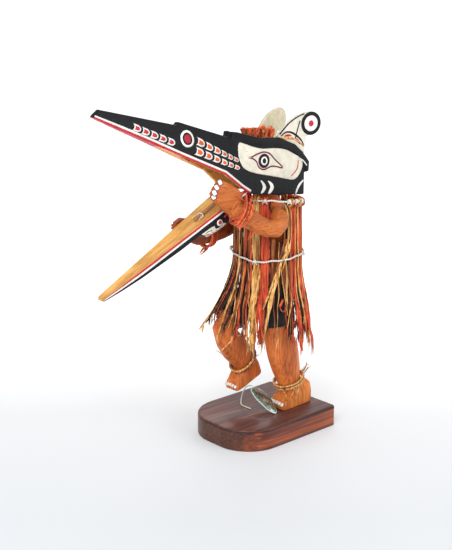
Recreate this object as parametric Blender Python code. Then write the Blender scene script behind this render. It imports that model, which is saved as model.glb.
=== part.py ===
# Carved dancer in a long-beaked bird mask, standing on one foot on a wooden plinth.
# Metres, +Z up. The figure faces -Y and its left side is +X.
# The origin is the centre of the plinth's underside.
import math

import bmesh
import bpy
from mathutils import Vector

MM = 0.001
GAP = 0.35

PLINTH_L = 184.0
PLINTH_W = 140.0
PLINTH_H = 32.0
PLINTH_FRONT_R = 56.0
PLINTH_REAR_R = 5.0
PLINTH_EDGE = 3.0

# The figure's heights below are given for a plinth as high as this, and LIFT carries them to the real one
TABLE_BASE = 32.0
LIFT = PLINTH_H - TABLE_BASE

BODY_Y = 10.0
LEG_L_X = 20.0
LEG_R_X = -26.0
FOOT_L_SOLE_Z = TABLE_BASE + 0.02
FOOT_R_PITCH = 18.0
FOOT_R_TOE = (-33.5, 60.5)
FOOT_R_SCALE = 0.88

CREST_T = 5.0
CREST_SPLAY = 12.0
MASK_ROOF = 5.5

SHELL_LONG = 29.5
SHELL_WIDE = 13.0
SHELL_AT = (6.2, 3.0, 13.3)
STRING_R = 0.8

RING_Y = 13.0
STRIP_T = 1.6
TWINE_R = 1.5
COLLAR_Z = 350.0
COLLAR_TILT = -0.13
WAIST_Z = 268.0

# Sections of the mask's hood: y, top height and half width, edge height and half width, crown, lift, lean
HOOD = [
    (-63.5, 446.0, 12.0, 376.8, 27.2, 1.0, 3.0, 0.0),
    (-50.0, 443.0, 18.0, 368.0, 29.2, 1.2, 4.0, 0.0),
    (-39.0, 440.2, 22.5, 365.5, 29.8, 1.5, 5.0, 0.0),
    (-26.0, 437.3, 26.5, 363.5, 30.0, 1.5, 5.0, 0.0),
    (4.0, 435.5, 29.6, 359.5, 30.0, 1.5, 5.0, 0.0),
    (33.0, 423.2, 30.0, 356.0, 30.0, 2.0, 5.0, 0.0),
    (51.0, 408.0, 29.4, 353.5, 29.4, 2.5, 5.0, 0.0),
    (58.5, 399.5, 28.6, 353.0, 28.6, 2.5, 5.0, 0.0),
]
MASK_CEILING = HOOD[4][1] - MASK_ROOF

for old in list(bpy.data.objects):
    bpy.data.objects.remove(old, do_unlink=True)


def mesh_object(name, verts, faces, lift):
    mesh = bpy.data.meshes.new(name)
    mesh.from_pydata([(x * MM, y * MM, (z + lift) * MM) for x, y, z in verts], [], faces)
    mesh.update()
    ob = bpy.data.objects.new(name, mesh)
    bpy.context.scene.collection.objects.link(ob)
    return ob


def loft(name, rings, closed=False, lift=LIFT):
    n = len(rings[0])
    verts = [tuple(p) for ring in rings for p in ring]
    faces = []
    last = len(rings) if closed else len(rings) - 1
    for i in range(last):
        a = i * n
        b = ((i + 1) % len(rings)) * n
        for j in range(n):
            k = (j + 1) % n
            faces.append((a + j, a + k, b + k, b + j))
    if not closed:
        faces.append(tuple(range(n - 1, -1, -1)))
        faces.append(tuple(range((len(rings) - 1) * n, len(rings) * n)))
    ob = mesh_object(name, verts, faces, lift)
    make_outward(ob)
    return ob


def make_outward(ob):
    me = ob.data
    me.calc_loop_triangles()
    vol = 0.0
    for t in me.loop_triangles:
        a, b, c = (me.vertices[i].co for i in t.vertices)
        vol += a.dot(b.cross(c))
    if vol < 0:
        me.flip_normals()


def baked(ob):
    dg = bpy.context.evaluated_depsgraph_get()
    mesh = bpy.data.meshes.new_from_object(ob.evaluated_get(dg))
    ob.modifiers.clear()
    old = ob.data
    ob.data = mesh
    bpy.data.meshes.remove(old)
    return ob


def combine(ob, other, how, keep_other=False):
    mod = ob.modifiers.new(how, "BOOLEAN")
    mod.operation = how
    mod.solver = "EXACT"
    mod.object = other
    bpy.context.view_layer.update()
    baked(ob)
    if not keep_other:
        bpy.data.objects.remove(other, do_unlink=True)
    return ob


def keep_largest(ob):
    bm = bmesh.new()
    bm.from_mesh(ob.data)
    left = set(bm.verts)
    groups = []
    while left:
        stack = [left.pop()]
        group = set(stack)
        while stack:
            v = stack.pop()
            for e in v.link_edges:
                o = e.other_vert(v)
                if o in left:
                    left.discard(o)
                    group.add(o)
                    stack.append(o)
        groups.append(group)
    groups.sort(key=len)
    for group in groups[:-1]:
        bmesh.ops.delete(bm, geom=list(group), context="VERTS")
    bm.to_mesh(ob.data)
    bm.free()


def ellipse(cx, cy, cz, a, b, n, start=0.0):
    pts = []
    for i in range(n):
        t = start + 2 * math.pi * i / n
        pts.append((cx + a * math.cos(t), cy + b * math.sin(t), cz))
    return pts


def limb_rings(stations, n, grow=0.0):
    rings = []
    pts = [Vector(s[:3]) for s in stations]
    for i, s in enumerate(stations):
        lo = pts[max(i - 1, 0)]
        hi = pts[min(i + 1, len(pts) - 1)]
        t = (hi - lo).normalized()
        u = Vector((1, 0, 0))
        u = (u - t * u.dot(t)).normalized()
        v = t.cross(u)
        ring = []
        for k in range(n):
            w = 2 * math.pi * (k + 0.5) / n
            ring.append(pts[i] + u * (s[3] + grow) * math.cos(w) + v * (s[4] + grow) * math.sin(w))
        rings.append(ring)
    return rings


def limb(name, stations, n=12, grow=0.0):
    return loft(name, limb_rings(stations, n, grow))


def tube(name, path, radius, n=6, closed=False, up=(0, 0, 1)):
    pts = [Vector(p) for p in path]
    rings = []
    count = len(pts)
    for i in range(count):
        if closed:
            t = (pts[(i + 1) % count] - pts[i - 1]).normalized()
        else:
            t = (pts[min(i + 1, count - 1)] - pts[max(i - 1, 0)]).normalized()
        w = Vector(up)
        u = t.cross(w).normalized()
        v = u.cross(t)
        r = radius[i] if isinstance(radius, (list, tuple)) else radius
        rings.append([pts[i] + u * r * math.cos(2 * math.pi * k / n) + v * r * math.sin(2 * math.pi * k / n)
                      for k in range(n)])
    return loft(name, rings, closed)


def slab(name, outline, thick, place):
    front = [place(s, z, thick / 2) for s, z in outline]
    back = [place(s, z, -thick / 2) for s, z in outline]
    return loft(name, [front, back])


# Plinth

def plinth_outline(inset, z):
    hx = PLINTH_W / 2 - inset
    hy = PLINTH_L / 2 - inset
    rf = PLINTH_FRONT_R - inset
    rr = max(PLINTH_REAR_R - inset, 1.0)
    pts = []
    for cx, cy, r, a0, n in ((hx - rr, hy - rr, rr, 0, 4), (-hx + rr, hy - rr, rr, 90, 4),
                             (-hx + rf, -hy + rf, rf, 180, 12), (hx - rf, -hy + rf, rf, 270, 12)):
        for i in range(n):
            w = math.radians(a0 + 90 * i / (n - 1))
            pts.append((cx + r * math.cos(w), cy + r * math.sin(w), z))
    return pts


loft("plinth", [plinth_outline(1.0, 0.0), plinth_outline(0.0, 1.0),
                plinth_outline(0.0, PLINTH_H - PLINTH_EDGE),
                plinth_outline(0.9, PLINTH_H - 0.9),
                plinth_outline(PLINTH_EDGE, PLINTH_H)], lift=0.0)


# Body: torso, neck and head in one, with both legs and feet

TORSO = [
    (196, 0, 27, 20), (206, 0, 35, 25), (222, 0, 37, 26), (245, 0, 33, 24), (280, 0, 35, 25),
    (312, 0, 39, 26), (331, 0, 41, 25), (342, 0, 36, 22), (349, 0, 22, 18), (355, 0, 16, 16),
    (362, -1, 15, 15.5), (369, -5, 17, 19.5), (378, -7, 20.5, 24), (392, -7, 23, 26.5),
    (405, -6, 23, 27), (MASK_CEILING - 16, -6, 19.5, 23), (MASK_CEILING - 9, -7, 14.5, 16.5),
    (MASK_CEILING - 4, -8, 9, 10.5),
]
LEG_L = [
    (16, 10, 226, 16, 19), (19, 11, 208, 19, 22), (20, 12, 186, 20, 23.5), (20, 14, 165, 19.5, 23),
    (20, 18, 147, 19.5, 23.5), (20, 25, 128, 21.5, 25.5), (20, 29, 114, 21.5, 25.5),
    (20, 34, 95, 19.5, 23.5), (20, 40, 76, 16.5, 20), (20, 44, 62, 15, 19), (20, 46, 52, 14, 18),
]
LEG_R = [
    (-15, 14, 220, 15, 18), (-19, 4, 208, 18, 21), (-23, -16, 190, 19.5, 21.5),
    (-25, -36, 173, 18.5, 20.5), (-26, -47, 159, 17.5, 20), (-26, -41, 143, 17.5, 20),
    (-26, -27, 126, 18, 22), (-26, -15, 112, 17, 20.5), (-26, -5, 97, 14, 16.5), (-26, 2, 86, 12.5, 14.5),
]
FOOT = [
    (0.0, 13, 1.0, 8.5), (2.6, 16.5, 0.2, 12.5), (10, 17.2, 0, 17), (22, 17, 0, 27), (34, 16.2, 0, 35),
    (48, 15.8, 0, 37), (58, 15, 0, 36), (63.5, 12.5, 0.4, 31), (66, 9, 2.0, 24),
]


def torso(name, grow=0.0, lo=None, hi=None):
    rings = []
    for z, dy, a, b in TORSO:
        if lo is not None and z < lo or hi is not None and z > hi:
            continue
        rings.append(ellipse(0, BODY_Y + dy, z, a + grow, b + grow, 16, math.pi / 16))
    return loft(name, rings)


def foot(name, place):
    rings = []
    for d, hw, zb, zt in FOOT:
        c = min(hw * 0.3, (zt - zb) * 0.45)
        top = hw * (0.72 if zt > 30 else 0.9)
        mid = (zt - zb) * 0.55
        half = [(hw - 1.2, zb), (hw, zb + 1.6), (hw, zb + mid), (top, zt - c * 0.25), (top * 0.5, zt)]
        ring = [(x, z) for x, z in half] + [(-x, z) for x, z in reversed(half)]
        rings.append([place(x, d, z) for x, z in ring])
    return loft(name, rings)


def place_left(x, d, z):
    return (LEG_L_X + x + 0.6, 14.0 + d - 0.06 * x, FOOT_L_SOLE_Z + z)


def place_right(x, d, z):
    w = math.radians(FOOT_R_PITCH)
    d *= FOOT_R_SCALE
    z *= FOOT_R_SCALE
    y = FOOT_R_TOE[0] + d * math.cos(w) - z * math.sin(w)
    return (LEG_R_X + x * 0.8, y, FOOT_R_TOE[1] + d * math.sin(w) + z * math.cos(w))


body = torso("body")
for piece in (limb("leg_l", LEG_L, 12), limb("leg_r", LEG_R, 12),
              foot("foot_l", place_left), foot("foot_r", place_right)):
    combine(body, piece, "UNION")
nose = loft("nose", [[(3.2, -24, 388), (-3.2, -24, 388), (-4.2, -21, 384), (4.2, -21, 384)],
                     [(1.6, -22, 400), (-1.6, -22, 400), (-1.6, -20, 400), (1.6, -20, 400)]])
combine(body, nose, "UNION")


# Arms, each butted on the side of the torso

def arm(name, side, shoulder, hand_outline, hand_x, hand_t):
    ob = limb(name, [(side * s[0],) + s[1:] for s in shoulder], 12)
    cx = side * hand_x
    rings = []
    n = len(hand_outline)
    my = sum(p[0] for p in hand_outline) / n
    mz = sum(p[1] for p in hand_outline) / n
    for x, k in ((-hand_t / 2, 0.84), (-hand_t * 0.3, 1.0), (hand_t * 0.3, 1.0), (hand_t / 2, 0.84)):
        rings.append([(cx + x, my + (y - my) * k, mz + (z - mz) * k) for y, z in hand_outline])
    combine(ob, loft("hand", rings), "UNION")
    combine(ob, torso("torso_cut", GAP, None, 356), "DIFFERENCE")
    return ob


ARM_L = [(33, -1, 334, 10, 11), (41, -5.5, 335, 11.5, 12), (49, -12, 333, 12.5, 13.5), (56, -19, 327.5, 13, 14.5),
         (59, -29, 321.5, 13, 13.4), (56, -41, 322.5, 12.5, 12.4), (52, -55, 329.5, 12, 13.2),
         (48, -68, 339, 11, 13.8), (43, -78, 347, 9.5, 14.5), (37, -87, 355, 9, 15)]
HAND_L = [(-107, 395), (-93, 389), (-75, 378), (-69, 367), (-70, 354), (-77, 347), (-85, 344),
          (-94, 347), (-102, 354), (-115, 365), (-124, 375), (-121, 382), (-114, 390)]
ARM_R = [(33, -1, 333, 10, 11), (41, -3, 331, 11, 11.5), (50, -4.5, 322, 11.5, 12), (55, -7, 310, 12, 12.5),
         (55, -16, 301, 12, 13), (52, -31, 299, 12, 12.5), (48, -50, 298, 11.5, 12),
         (43, -70, 299, 10, 11.5), (37, -84, 304, 8.5, 12)]
HAND_R = [(-136, 331), (-124, 336), (-108, 332), (-88, 321), (-78, 311), (-79, 298), (-86, 292),
          (-98, 293), (-110, 300), (-124, 309), (-138, 319), (-140, 326)]
arm("arm_left", 1, ARM_L, HAND_L, 31.5, 15.0)
arm("arm_right", -1, ARM_R, HAND_R, 30.5, 14.0)


# Mask: hollow hood with the upper beak, the stepped top and the raised brow

def mask_ring(y, zt, wt, zl, wl, crown, lift, lean=0.0):
    zm = zl + (zt - zl) * 0.5
    wm = max(wt, wl) * 0.5 + (wt + wl) * 0.25
    half = [(0.0, zt + crown), (wt * 0.55, zt + crown * 0.75), (wt, zt), (wm, zm), (wl, zl)]
    under = [(wl * 0.45, zl + lift), (0.0, zl + lift)]
    ring = [(x, z) for x, z in half + under]
    ring += [(-x, z) for x, z in reversed(half[1:] + under[:1])]
    span = max(zt - zl, 1.0)
    return [(x, y + lean * (z - zl) / span, z) for x, z in ring]


BEAK = [
    (-291, 499.3, 2.6, 490.4, 4.2, 0.3, 0.3, 10.0),
    (-250, 491.8, 3.3, 471.2, 7.0, 0.4, 0.6, 0.0),
    (-206.5, 481.2, 4.1, 451.8, 10.4, 0.4, 1.0, 0.0),
    (-157.5, 469.3, 4.9, 428.9, 15.0, 0.4, 1.5, 0.0),
    (-153.5, 473.0, 5.1, 427.1, 15.4, 0.5, 1.5, 0.0),
    (-109.0, 458.3, 6.5, 407.0, 20.4, 0.6, 2.0, 0.0),
    (-89.7, 452.0, 7.6, 398.3, 22.9, 0.6, 2.5, 0.0),
    (-67.0, 444.4, 9.5, 380.0, 26.6, 0.8, 3.0, 0.0),
]
mask = loft("mask", [mask_ring(*s) for s in BEAK + HOOD])

BROW_PATH = [(-65, 447.6, 9.0), (-57.3, 446.6, 13.5), (-49.8, 444.0, 19.0), (-39.5, 440.6, 24.5),
             (-26.3, 437.6, 28.6), (3.5, 435.8, 32.6), (33.4, 423.4, 33.0), (51, 408.6, 32.6),
             (60.5, 398.5, 31.8), (62.0, 386.5, 31.4)]


def brow(name, side, grow=0.0):
    rings = []
    last = len(BROW_PATH) - 1
    for i, (y, z, out) in enumerate(BROW_PATH):
        a = BROW_PATH[max(i - 1, 0)]
        b = BROW_PATH[min(i + 1, last)]
        t = Vector((0, b[0] - a[0], b[1] - a[1])).normalized()
        v = Vector((0, -t.z, t.y))
        c = Vector((0, y, z))
        h = (3.0 if i == last else 5.2) + grow
        inn = out - 8.0 - grow
        ring = []
        for px, pv in ((inn, -h), (out - 0.9, -h), (out, -h + 1.3), (out, h - 1.3), (out - 0.9, h), (inn, h)):
            q = c + v * pv
            ring.append((side * px, q.y, q.z))
        rings.append(ring)
    return loft(name, rings)


for s in (1, -1):
    combine(mask, brow("brow", s), "UNION")

HOLLOW = [
    (-150, MASK_CEILING, 3.0, 405.0, 7.5), (-120, MASK_CEILING + 3, 6.0, 385.0, 14.6),
    (-92, MASK_CEILING + 2, 10.5, 370.0, 19.2), (-64, MASK_CEILING + 2, 16.5, 350.0, 23.6),
    (-48, MASK_CEILING + 2, 21.0, 340.0, 26.0), (-28, MASK_CEILING + 1.5, 25.0, 340.0, 26.8),
    (4, MASK_CEILING, 26.4, 340.0, 26.8), (32, MASK_CEILING - 11.5, 26.8, 340.0, 26.8),
    (51, MASK_CEILING - 27, 26.2, 340.0, 26.2), (66, MASK_CEILING - 40, 25.4, 340.0, 25.4),
]


def hollow_ring(y, zt, wt, zl, wl):
    zm = (zt + zl) / 2
    wm = max(wt, wl) * 0.5 + (wt + wl) * 0.25
    half = [(wt * 0.55, zt), (wt, zt - 4.0), (wm, zm), (wl, zl)]
    return [(x, y, z) for x, z in half] + [(-x, y, z) for x, z in reversed(half)]


combine(mask, loft("hollow", [hollow_ring(*s) for s in HOLLOW]), "DIFFERENCE")


# Lower beak: a shallow trough with a deeper rear step

JAW = [
    (-283.5, 259.2, 5.0, 3.4, 1.0), (-279.0, 261.4, 7.4, 4.6, 1.8), (-253.8, 273.8, 9.7, 8.0, 3.6),
    (-223.4, 288.8, 12.1, 11.0, 5.0), (-160.8, 319.8, 16.9, 14.6, 6.5), (-131.0, 334.5, 19.2, 14.8, 6.8),
    (-129.5, 335.3, 19.3, 16.8, 6.8), (-117.5, 341.2, 20.2, 27.0, 6.8), (-95.6, 352.1, 21.9, 30.0, 7.0),
    (-72.0, 363.8, 23.2, 29.0, 7.0), (-58.0, 370.7, 23.6, 26.0, 7.0), (-50.0, 374.0, 23.6, 18.0, 6.0),
]


def jaw_ring(y, z, w, depth, dish):
    wall = min(1.8, w * 0.3)
    outer = [(w, 0), (w * 0.97, -depth * 0.62), (w * 0.74, -depth * 0.94), (0, -depth)]
    inner = [(0, -dish), ((w - wall) * 0.55, -dish * 0.85), (w - wall, 0)]
    half = [(x, d) for x, d in outer[:-1]]
    pts = [(outer[-1])] + half[::-1] + inner[::-1][:2] + [inner[0]]
    pts += [(-x, d) for x, d in inner[1:]] + [(-x, d) for x, d in half]
    return [(x, y, z + d) for x, d in pts]


loft("mask_jaw", [jaw_ring(*s) for s in JAW])


# Strap lying in the lower beak and its looped string

def tilt(y):
    return 352.1 + (y + 95.6) * 0.497


loft("jaw_strap", [[(-4.0 + 3.2 * s, y, tilt(y) + up), (-4.0 + 3.2 * s, y, tilt(y) + up + 1.8),
                    (-4.0 - 3.2 * s, y, tilt(y) + up + 1.8), (-4.0 - 3.2 * s, y, tilt(y) + up)]
                   for y, s, up in ((-122, 0.8, -3.0), (-118, 1.0, -2.9), (-100, 1.0, -2.6),
                                    (-84, 1.0, -2.4), (-70, 0.9, -2.4))])
tube("jaw_string", [(-4.0 + 5.4 * math.cos(w), -114, tilt(-114) - 1.9 + 2.9 * math.sin(w))
                    for w in [2 * math.pi * i / 12 for i in range(12)]], 0.8, 5, True, (0, 1, 0))


# Crests on the mask

def crest(name, side):
    w = math.radians(CREST_SPLAY)

    def place(s, z, off):
        x = 20.0 + s * math.sin(w) + off * math.cos(w)
        y = 10.0 + s * math.cos(w) - off * math.sin(w)
        return (side * x, y, z)

    ring = [(56 + 17 * math.cos(math.radians(a)), 455.5 + 17 * math.sin(math.radians(a)))
            for a in (92, 70, 48, 26, 4, -18, -40, -62, -84, -104)]
    outline = [(0, 426), (0.5, 439), (2.5, 445.5), (10, 453), (18.5, 460.2), (31.2, 467.4), (45, 471.4)]
    outline += ring + [(48.6, 437), (46.5, 429), (45.6, 420), (44.5, 400), (20, 410)]
    return slab(name, outline, CREST_T, place)


def mask_block():
    grown = []
    for y, zt, wt, zl, wl, crown, lift, lean in HOOD:
        ring = mask_ring(y, zt + GAP, wt + 0.6, 380.0, wl + 0.6, crown + 0.1, 0.0, 0.0)
        grown.append(ring)
    return loft("mask_block", grown)


for s, name in ((1, "crest_left"), (-1, "crest_right")):
    ob = crest(name, s)
    combine(ob, mask_block(), "DIFFERENCE")
    combine(ob, brow("brow_cut", s, GAP), "DIFFERENCE")
    keep_largest(ob)


# Bark bunches standing on top of the mask

def bunch(name, cx, cy, z, high, wide, long, seed):
    ob = loft(name, [ellipse(cx, cy, z - 14.0, wide, long, 12), ellipse(cx, cy, z + high * 0.45, wide * 0.94, long * 0.94, 12)])
    for i in range(9):
        w = 2 * math.pi * (i + 0.3 * math.sin(seed + 2.3 * i)) / 9
        d = Vector((math.cos(w), math.sin(w), 0))
        e = Vector((-d.y, d.x, 0))
        reach = wide * long / math.hypot(long * d.x, wide * d.y)
        root = Vector((cx, cy, z + 1.5)) + d * reach * 0.55
        tip = Vector((cx, cy, z + high * (0.88 + 0.12 * math.sin(seed * 1.7 + 3.1 * i)))) + d * (reach + 1.6)
        low = [root + e * 3.0 + d * 2.4, root - e * 3.0 + d * 2.4, root - e * 3.0 - d * 2.0, root + e * 3.0 - d * 2.0]
        top = [tip + e * 3.6 + d * 0.9, tip - e * 3.6 + d * 0.9, tip - e * 3.6 - d * 2.4, tip + e * 3.6 - d * 2.4]
        combine(ob, loft("leaf", [low, top]), "UNION")
    combine(ob, mask_block(), "DIFFERENCE")
    keep_largest(ob)
    return ob


def top_z(y):
    pts = [(s[0], s[1] + s[5]) for s in HOOD]
    for (y0, z0), (y1, z1) in zip(pts, pts[1:]):
        if y0 <= y <= y1:
            return z0 + (z1 - z0) * (y - y0) / (y1 - y0)
    return pts[-1][1]


bunch("bark_bunch_front", 0.0, -24.0, top_z(-24.0), 15.0, 9.5, 8.5, 0.4)
bunch("bark_bunch_rear", 0.0, 3.5, top_z(3.5), 14.0, 12.5, 11.0, 1.9)


# Bark fringe hanging inside the collar and waist twines

PROFILE = [(365, 50, 45), (345, 50, 46), (310, 51, 46), (283, 52, 46.5), (253, 52.5, 47), (225, 54, 50),
           (200, 57, 56), (175, 60, 59), (150, 62, 62), (120, 63, 64)]


def semi(z):
    for (z0, a0, b0), (z1, a1, b1) in zip(PROFILE, PROFILE[1:]):
        if z1 <= z <= z0:
            k = (z0 - z) / (z0 - z1)
            return a0 + (a1 - a0) * k, b0 + (b1 - b0) * k
    return PROFILE[-1][1:]


def ring_point(deg, z, off=0.0):
    a, b = semi(z)
    w = math.radians(deg)
    return Vector(((a + off) * math.cos(w), RING_Y + (b + off) * math.sin(w), z))


def collar_z(y):
    return COLLAR_Z + COLLAR_TILT * (y - RING_Y)


def drape(z, amount):
    k = max(0.0, (262.0 - z) / 90.0)
    return amount * k * k * 0.75 + amount * 0.25 * k


def strip(name, top_deg, low_deg, z_top, z_low, width, layer=0.0, push=0.0, swing=0.0, tail=0.7):
    stations = [z_top]
    for z in (332, 312, 292, 268, 244, 222, 200, 180, 162):
        if z_low + 8 < z < z_top - 8:
            stations.append(z)
    stations.append(z_low)
    rings = []
    for i, z in enumerate(stations):
        k = (z_top - z) / (z_top - z_low)
        deg = top_deg + (low_deg - top_deg) * k
        w = math.radians(deg)
        p = ring_point(deg, z, -layer)
        ahead = ring_point(deg + 2.0, z, -layer) - ring_point(deg - 2.0, z, -layer)
        e = Vector((ahead.x, ahead.y, 0)).normalized()
        d = Vector((e.y, -e.x, 0))
        f = drape(z, 1.0)
        p = p + Vector((0, -1, 0)) * push * f + e * swing * f
        if z < 244:
            p = p + d * 0.9 * math.sin(z * 0.11 + top_deg)
        half = width / 2
        if i == len(stations) - 1:
            half *= tail
        if i == 0:
            half *= 0.8
        h = STRIP_T / 2
        rings.append([p + e * half + d * h, p - e * half + d * h, p - e * half - d * h, p + e * half - d * h])
    return loft(name, rings)


def top_at(deg):
    y = ring_point(deg, 350).y
    return collar_z(y) + 3.0


# (top angle, bottom angle, bottom height, width, layer, forward push, swing)
FRINGE = [
    ("fringe_front_1", -132, -137, 172, 8.0, 0.0, 34, 0),
    ("fringe_front_2", -120.5, -125, 165, 7.6, 0.0, 46, 0),
    ("fringe_front_3", -109.5, -112, 178, 8.2, 0.0, 40, 0),
    ("fringe_front_4", -98, -100, 150, 8.2, 0.0, 20, 0),
    ("fringe_front_5", -87, -88, 145, 8.6, 0.0, 6, 0),
    ("fringe_front_6", -76, -76, 152, 8.0, 0.0, 2, 0),
    ("fringe_front_7", -65, -65, 140, 8.6, 0.0, 0, 0),
    ("fringe_front_8", -51, -51, 150, 12.0, 0.0, 0, 0),
    ("fringe_left_1", -6, -7, 148, 8.0, 0.0, 0, 0),
    ("fringe_left_2", 5, 5, 140, 7.6, 0.0, 0, 0),
    ("fringe_left_3", 16, 16, 150, 8.0, 0.0, 0, 0),
    ("fringe_left_4", 28, 28, 136, 8.6, 0.0, 0, 0),
    ("fringe_left_5", 40, 40, 142, 8.6, 0.0, 0, 0),
    ("fringe_back_1", 52, 52, 134, 9.0, 0.0, 0, 0),
    ("fringe_back_2", 65, 65, 140, 9.6, 0.0, 0, 0),
    ("fringe_back_3", 78, 78, 135, 10.0, 0.0, 0, 0),
    ("fringe_back_4", 91, 91, 142, 10.0, 0.0, 0, 0),
    ("fringe_back_5", 104, 104, 134, 9.6, 0.0, 0, 0),
    ("fringe_back_6", 117, 117, 141, 9.4, 0.0, 0, 0),
    ("fringe_back_7", 130, 130, 136, 9.4, 0.0, 0, 0),
    ("fringe_right_1", 143, 143, 143, 9.2, 0.0, 0, 0),
    ("fringe_right_2", 156, 156, 138, 8.8, 0.0, 0, 0),
    ("fringe_right_3", 168, 168, 146, 8.6, 0.0, 0, 0),
]
for name, d0, d1, z_low, width, layer, push, swing in FRINGE:
    strip(name, d0, d1, top_at(d0), z_low, width, layer, push, swing)

# Strips that start below the arms, held only by the waist twine
LOW_FRINGE = [
    ("fringe_left_low_1", -37, -37, 300, 158, 7.2, 0.0, 0),
    ("fringe_left_low_2", -27, -27, 296, 150, 7.0, 0.0, 0),
    ("fringe_left_low_3", -17, -17.5, 300, 162, 6.8, 0.0, 0),
    ("fringe_right_low_0", -180, -180, 284, 148, 8.4, 0.0, 0),
    ("fringe_right_low_1", -168, -169, 282, 165, 8.4, 0.0, 4),
    ("fringe_right_low_2", -156, -158, 280, 172, 8.0, 0.0, 10),
    ("fringe_right_low_3", -144, -147, 282, 168, 8.0, 0.0, 20),
]
for name, d0, d1, z_top, z_low, width, layer, push in LOW_FRINGE:
    strip(name, d0, d1, z_top, z_low, width, layer, push)

HOLD = STRIP_T / 2 + TWINE_R + 0.85


def hoop(name, z_of, radius, count=32, sides=6):
    pts = []
    for i in range(count):
        deg = 360.0 * i / count
        p = ring_point(deg, 350)
        z = z_of(p.y)
        pts.append(ring_point(deg, z, HOLD))
    return tube(name, [tuple(p) for p in pts], radius, sides, True)


hoop("collar_twine", collar_z, TWINE_R)
hoop("waist_twine", lambda y: WAIST_Z, TWINE_R)


# Ties at wrists and ankles

def band(name, c, t, a, b, r, n=14, sides=6, tails=()):
    c = Vector(c)
    t = Vector(t).normalized()
    u = Vector((1, 0, 0))
    u = (u - t * u.dot(t)).normalized()
    v = t.cross(u)
    pts = []
    for i in range(n):
        w = 2 * math.pi * i / n
        pts.append(c + u * a * math.cos(w) + v * b * math.sin(w))
    ob = tube(name, [tuple(p) for p in pts], r, sides, True, tuple(t))
    for path, rr in tails:
        combine(ob, tube("tail", path, rr, 5, False, (0.31, 0.2, 0.93)), "UNION")
    return ob


band("wrist_tie_left", (46.5, -71.5, 341.5), (-5, -12, 8), 14.2, 17.6, 1.9)
band("wrist_tie_right", (-44.0, -66.0, 299), (5, -20, 1), 13.9, 15.2, 1.9)
band("ankle_tie_left", (20, 41.0, 73.5), (0, 1, -17), 20.0, 24.0, 1.8)
band("ankle_tie_right", (-26, -10.0, 103.5), (0, 13.5, -14), 18.6, 22.6, 1.8)


# Cloth shorts round the hips and thighs

SHORTS_T = 1.3


def cut_rings(rings, count, over):
    out = [list(map(Vector, r)) for r in rings[:count]]
    if over:
        nxt = [Vector(p) for p in rings[count]]
        out.append(nxt)
    return out


def shorts_part(grow, over):
    rings = []
    for z, dy, a, b in ((186, 0, 24, 17), (206, 0, 35, 25), (222, 0, 37, 26), (229, 0, 35.9, 25.5), (240, 0, 34, 24.5)):
        if z == 240 and not over:
            continue
        rings.append(ellipse(0, BODY_Y + dy, z, a + grow, b + grow, 16, math.pi / 16))
    ob = loft("hip_part", rings)
    combine(ob, loft("thigh_l", cut_rings(limb_rings(LEG_L, 12, grow), 4, over)), "UNION")
    combine(ob, loft("thigh_r", cut_rings(limb_rings(LEG_R, 12, grow), 4, over)), "UNION")
    return ob


shorts = shorts_part(GAP + SHORTS_T, False)
shorts.name = "shorts"
combine(shorts, shorts_part(GAP, True), "DIFFERENCE")


# Shell on the plinth and its string

def shell_dish():
    rings = []
    n = 16
    ax = Vector((0.905, -0.06, -0.42)).normalized()
    ay = Vector((0.07, 0.995, 0.0)).normalized()
    up = ax.cross(ay).normalized()
    c = Vector((SHELL_AT[0], SHELL_AT[1], TABLE_BASE + SHELL_AT[2]))
    prof = [(0.30, 7.2), (0.72, 5.2), (1.0, 0.0), (0.955, -0.35), (0.68, 3.8), (0.28, 5.6)]
    for k, h in prof:
        ring = []
        for i in range(n):
            w = 2 * math.pi * i / n
            r = 1.0 + 0.05 * math.cos(3 * w + 0.6)
            ring.append(c + ax * SHELL_LONG * k * r * math.cos(w) + ay * SHELL_WIDE * k * r * math.sin(w) + up * h)
        rings.append(ring)
    return loft("shell", rings)


shell_dish()
STRING_Z = TABLE_BASE + STRING_R + 0.3
tube("shell_string", [(-20.0, 3.6, 59.5), (-22.6, -1.5, 60.6), (-24.6, -6.5, 57.5), (-25.6, -10.0, 52.0),
                      (-25.8, -12.8, 44.0), (-25.0, -14.6, 36.0), (-22.0, -15.2, STRING_Z),
                      (-13.0, -15.6, STRING_Z), (-3.0, -15.3, STRING_Z)], STRING_R, 6)
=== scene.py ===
import random
from math import ceil, copysign, cos, exp, pi, radians, sin, sqrt, tau

import bmesh
import bpy
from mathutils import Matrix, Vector, noise
from mathutils.bvhtree import BVHTree
from mathutils.geometry import delaunay_2d_cdt


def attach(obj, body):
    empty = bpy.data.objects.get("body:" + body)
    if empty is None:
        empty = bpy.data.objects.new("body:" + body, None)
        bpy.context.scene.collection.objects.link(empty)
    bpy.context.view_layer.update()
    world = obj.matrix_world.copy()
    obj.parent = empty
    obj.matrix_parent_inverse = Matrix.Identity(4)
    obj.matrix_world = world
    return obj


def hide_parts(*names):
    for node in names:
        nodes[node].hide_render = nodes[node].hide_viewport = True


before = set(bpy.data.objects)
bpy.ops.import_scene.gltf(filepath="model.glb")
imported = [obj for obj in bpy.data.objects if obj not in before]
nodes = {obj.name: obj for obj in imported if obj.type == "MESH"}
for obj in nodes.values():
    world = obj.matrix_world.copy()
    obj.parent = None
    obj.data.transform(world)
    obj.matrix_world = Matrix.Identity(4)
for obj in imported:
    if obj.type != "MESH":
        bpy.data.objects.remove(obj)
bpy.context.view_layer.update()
scene = bpy.context.scene
MM = 0.001
UP = Vector((0, 0, 1))


def vec(*place):
    return Vector(place)


def new_object(name, data):
    ob = bpy.data.objects.new(name, data)
    scene.collection.objects.link(ob)
    return ob


def angles(n, start=0.0):
    """Evenly spaced angles of a full turn."""
    return [start + tau * i / n for i in range(n)]


# Camera

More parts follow.
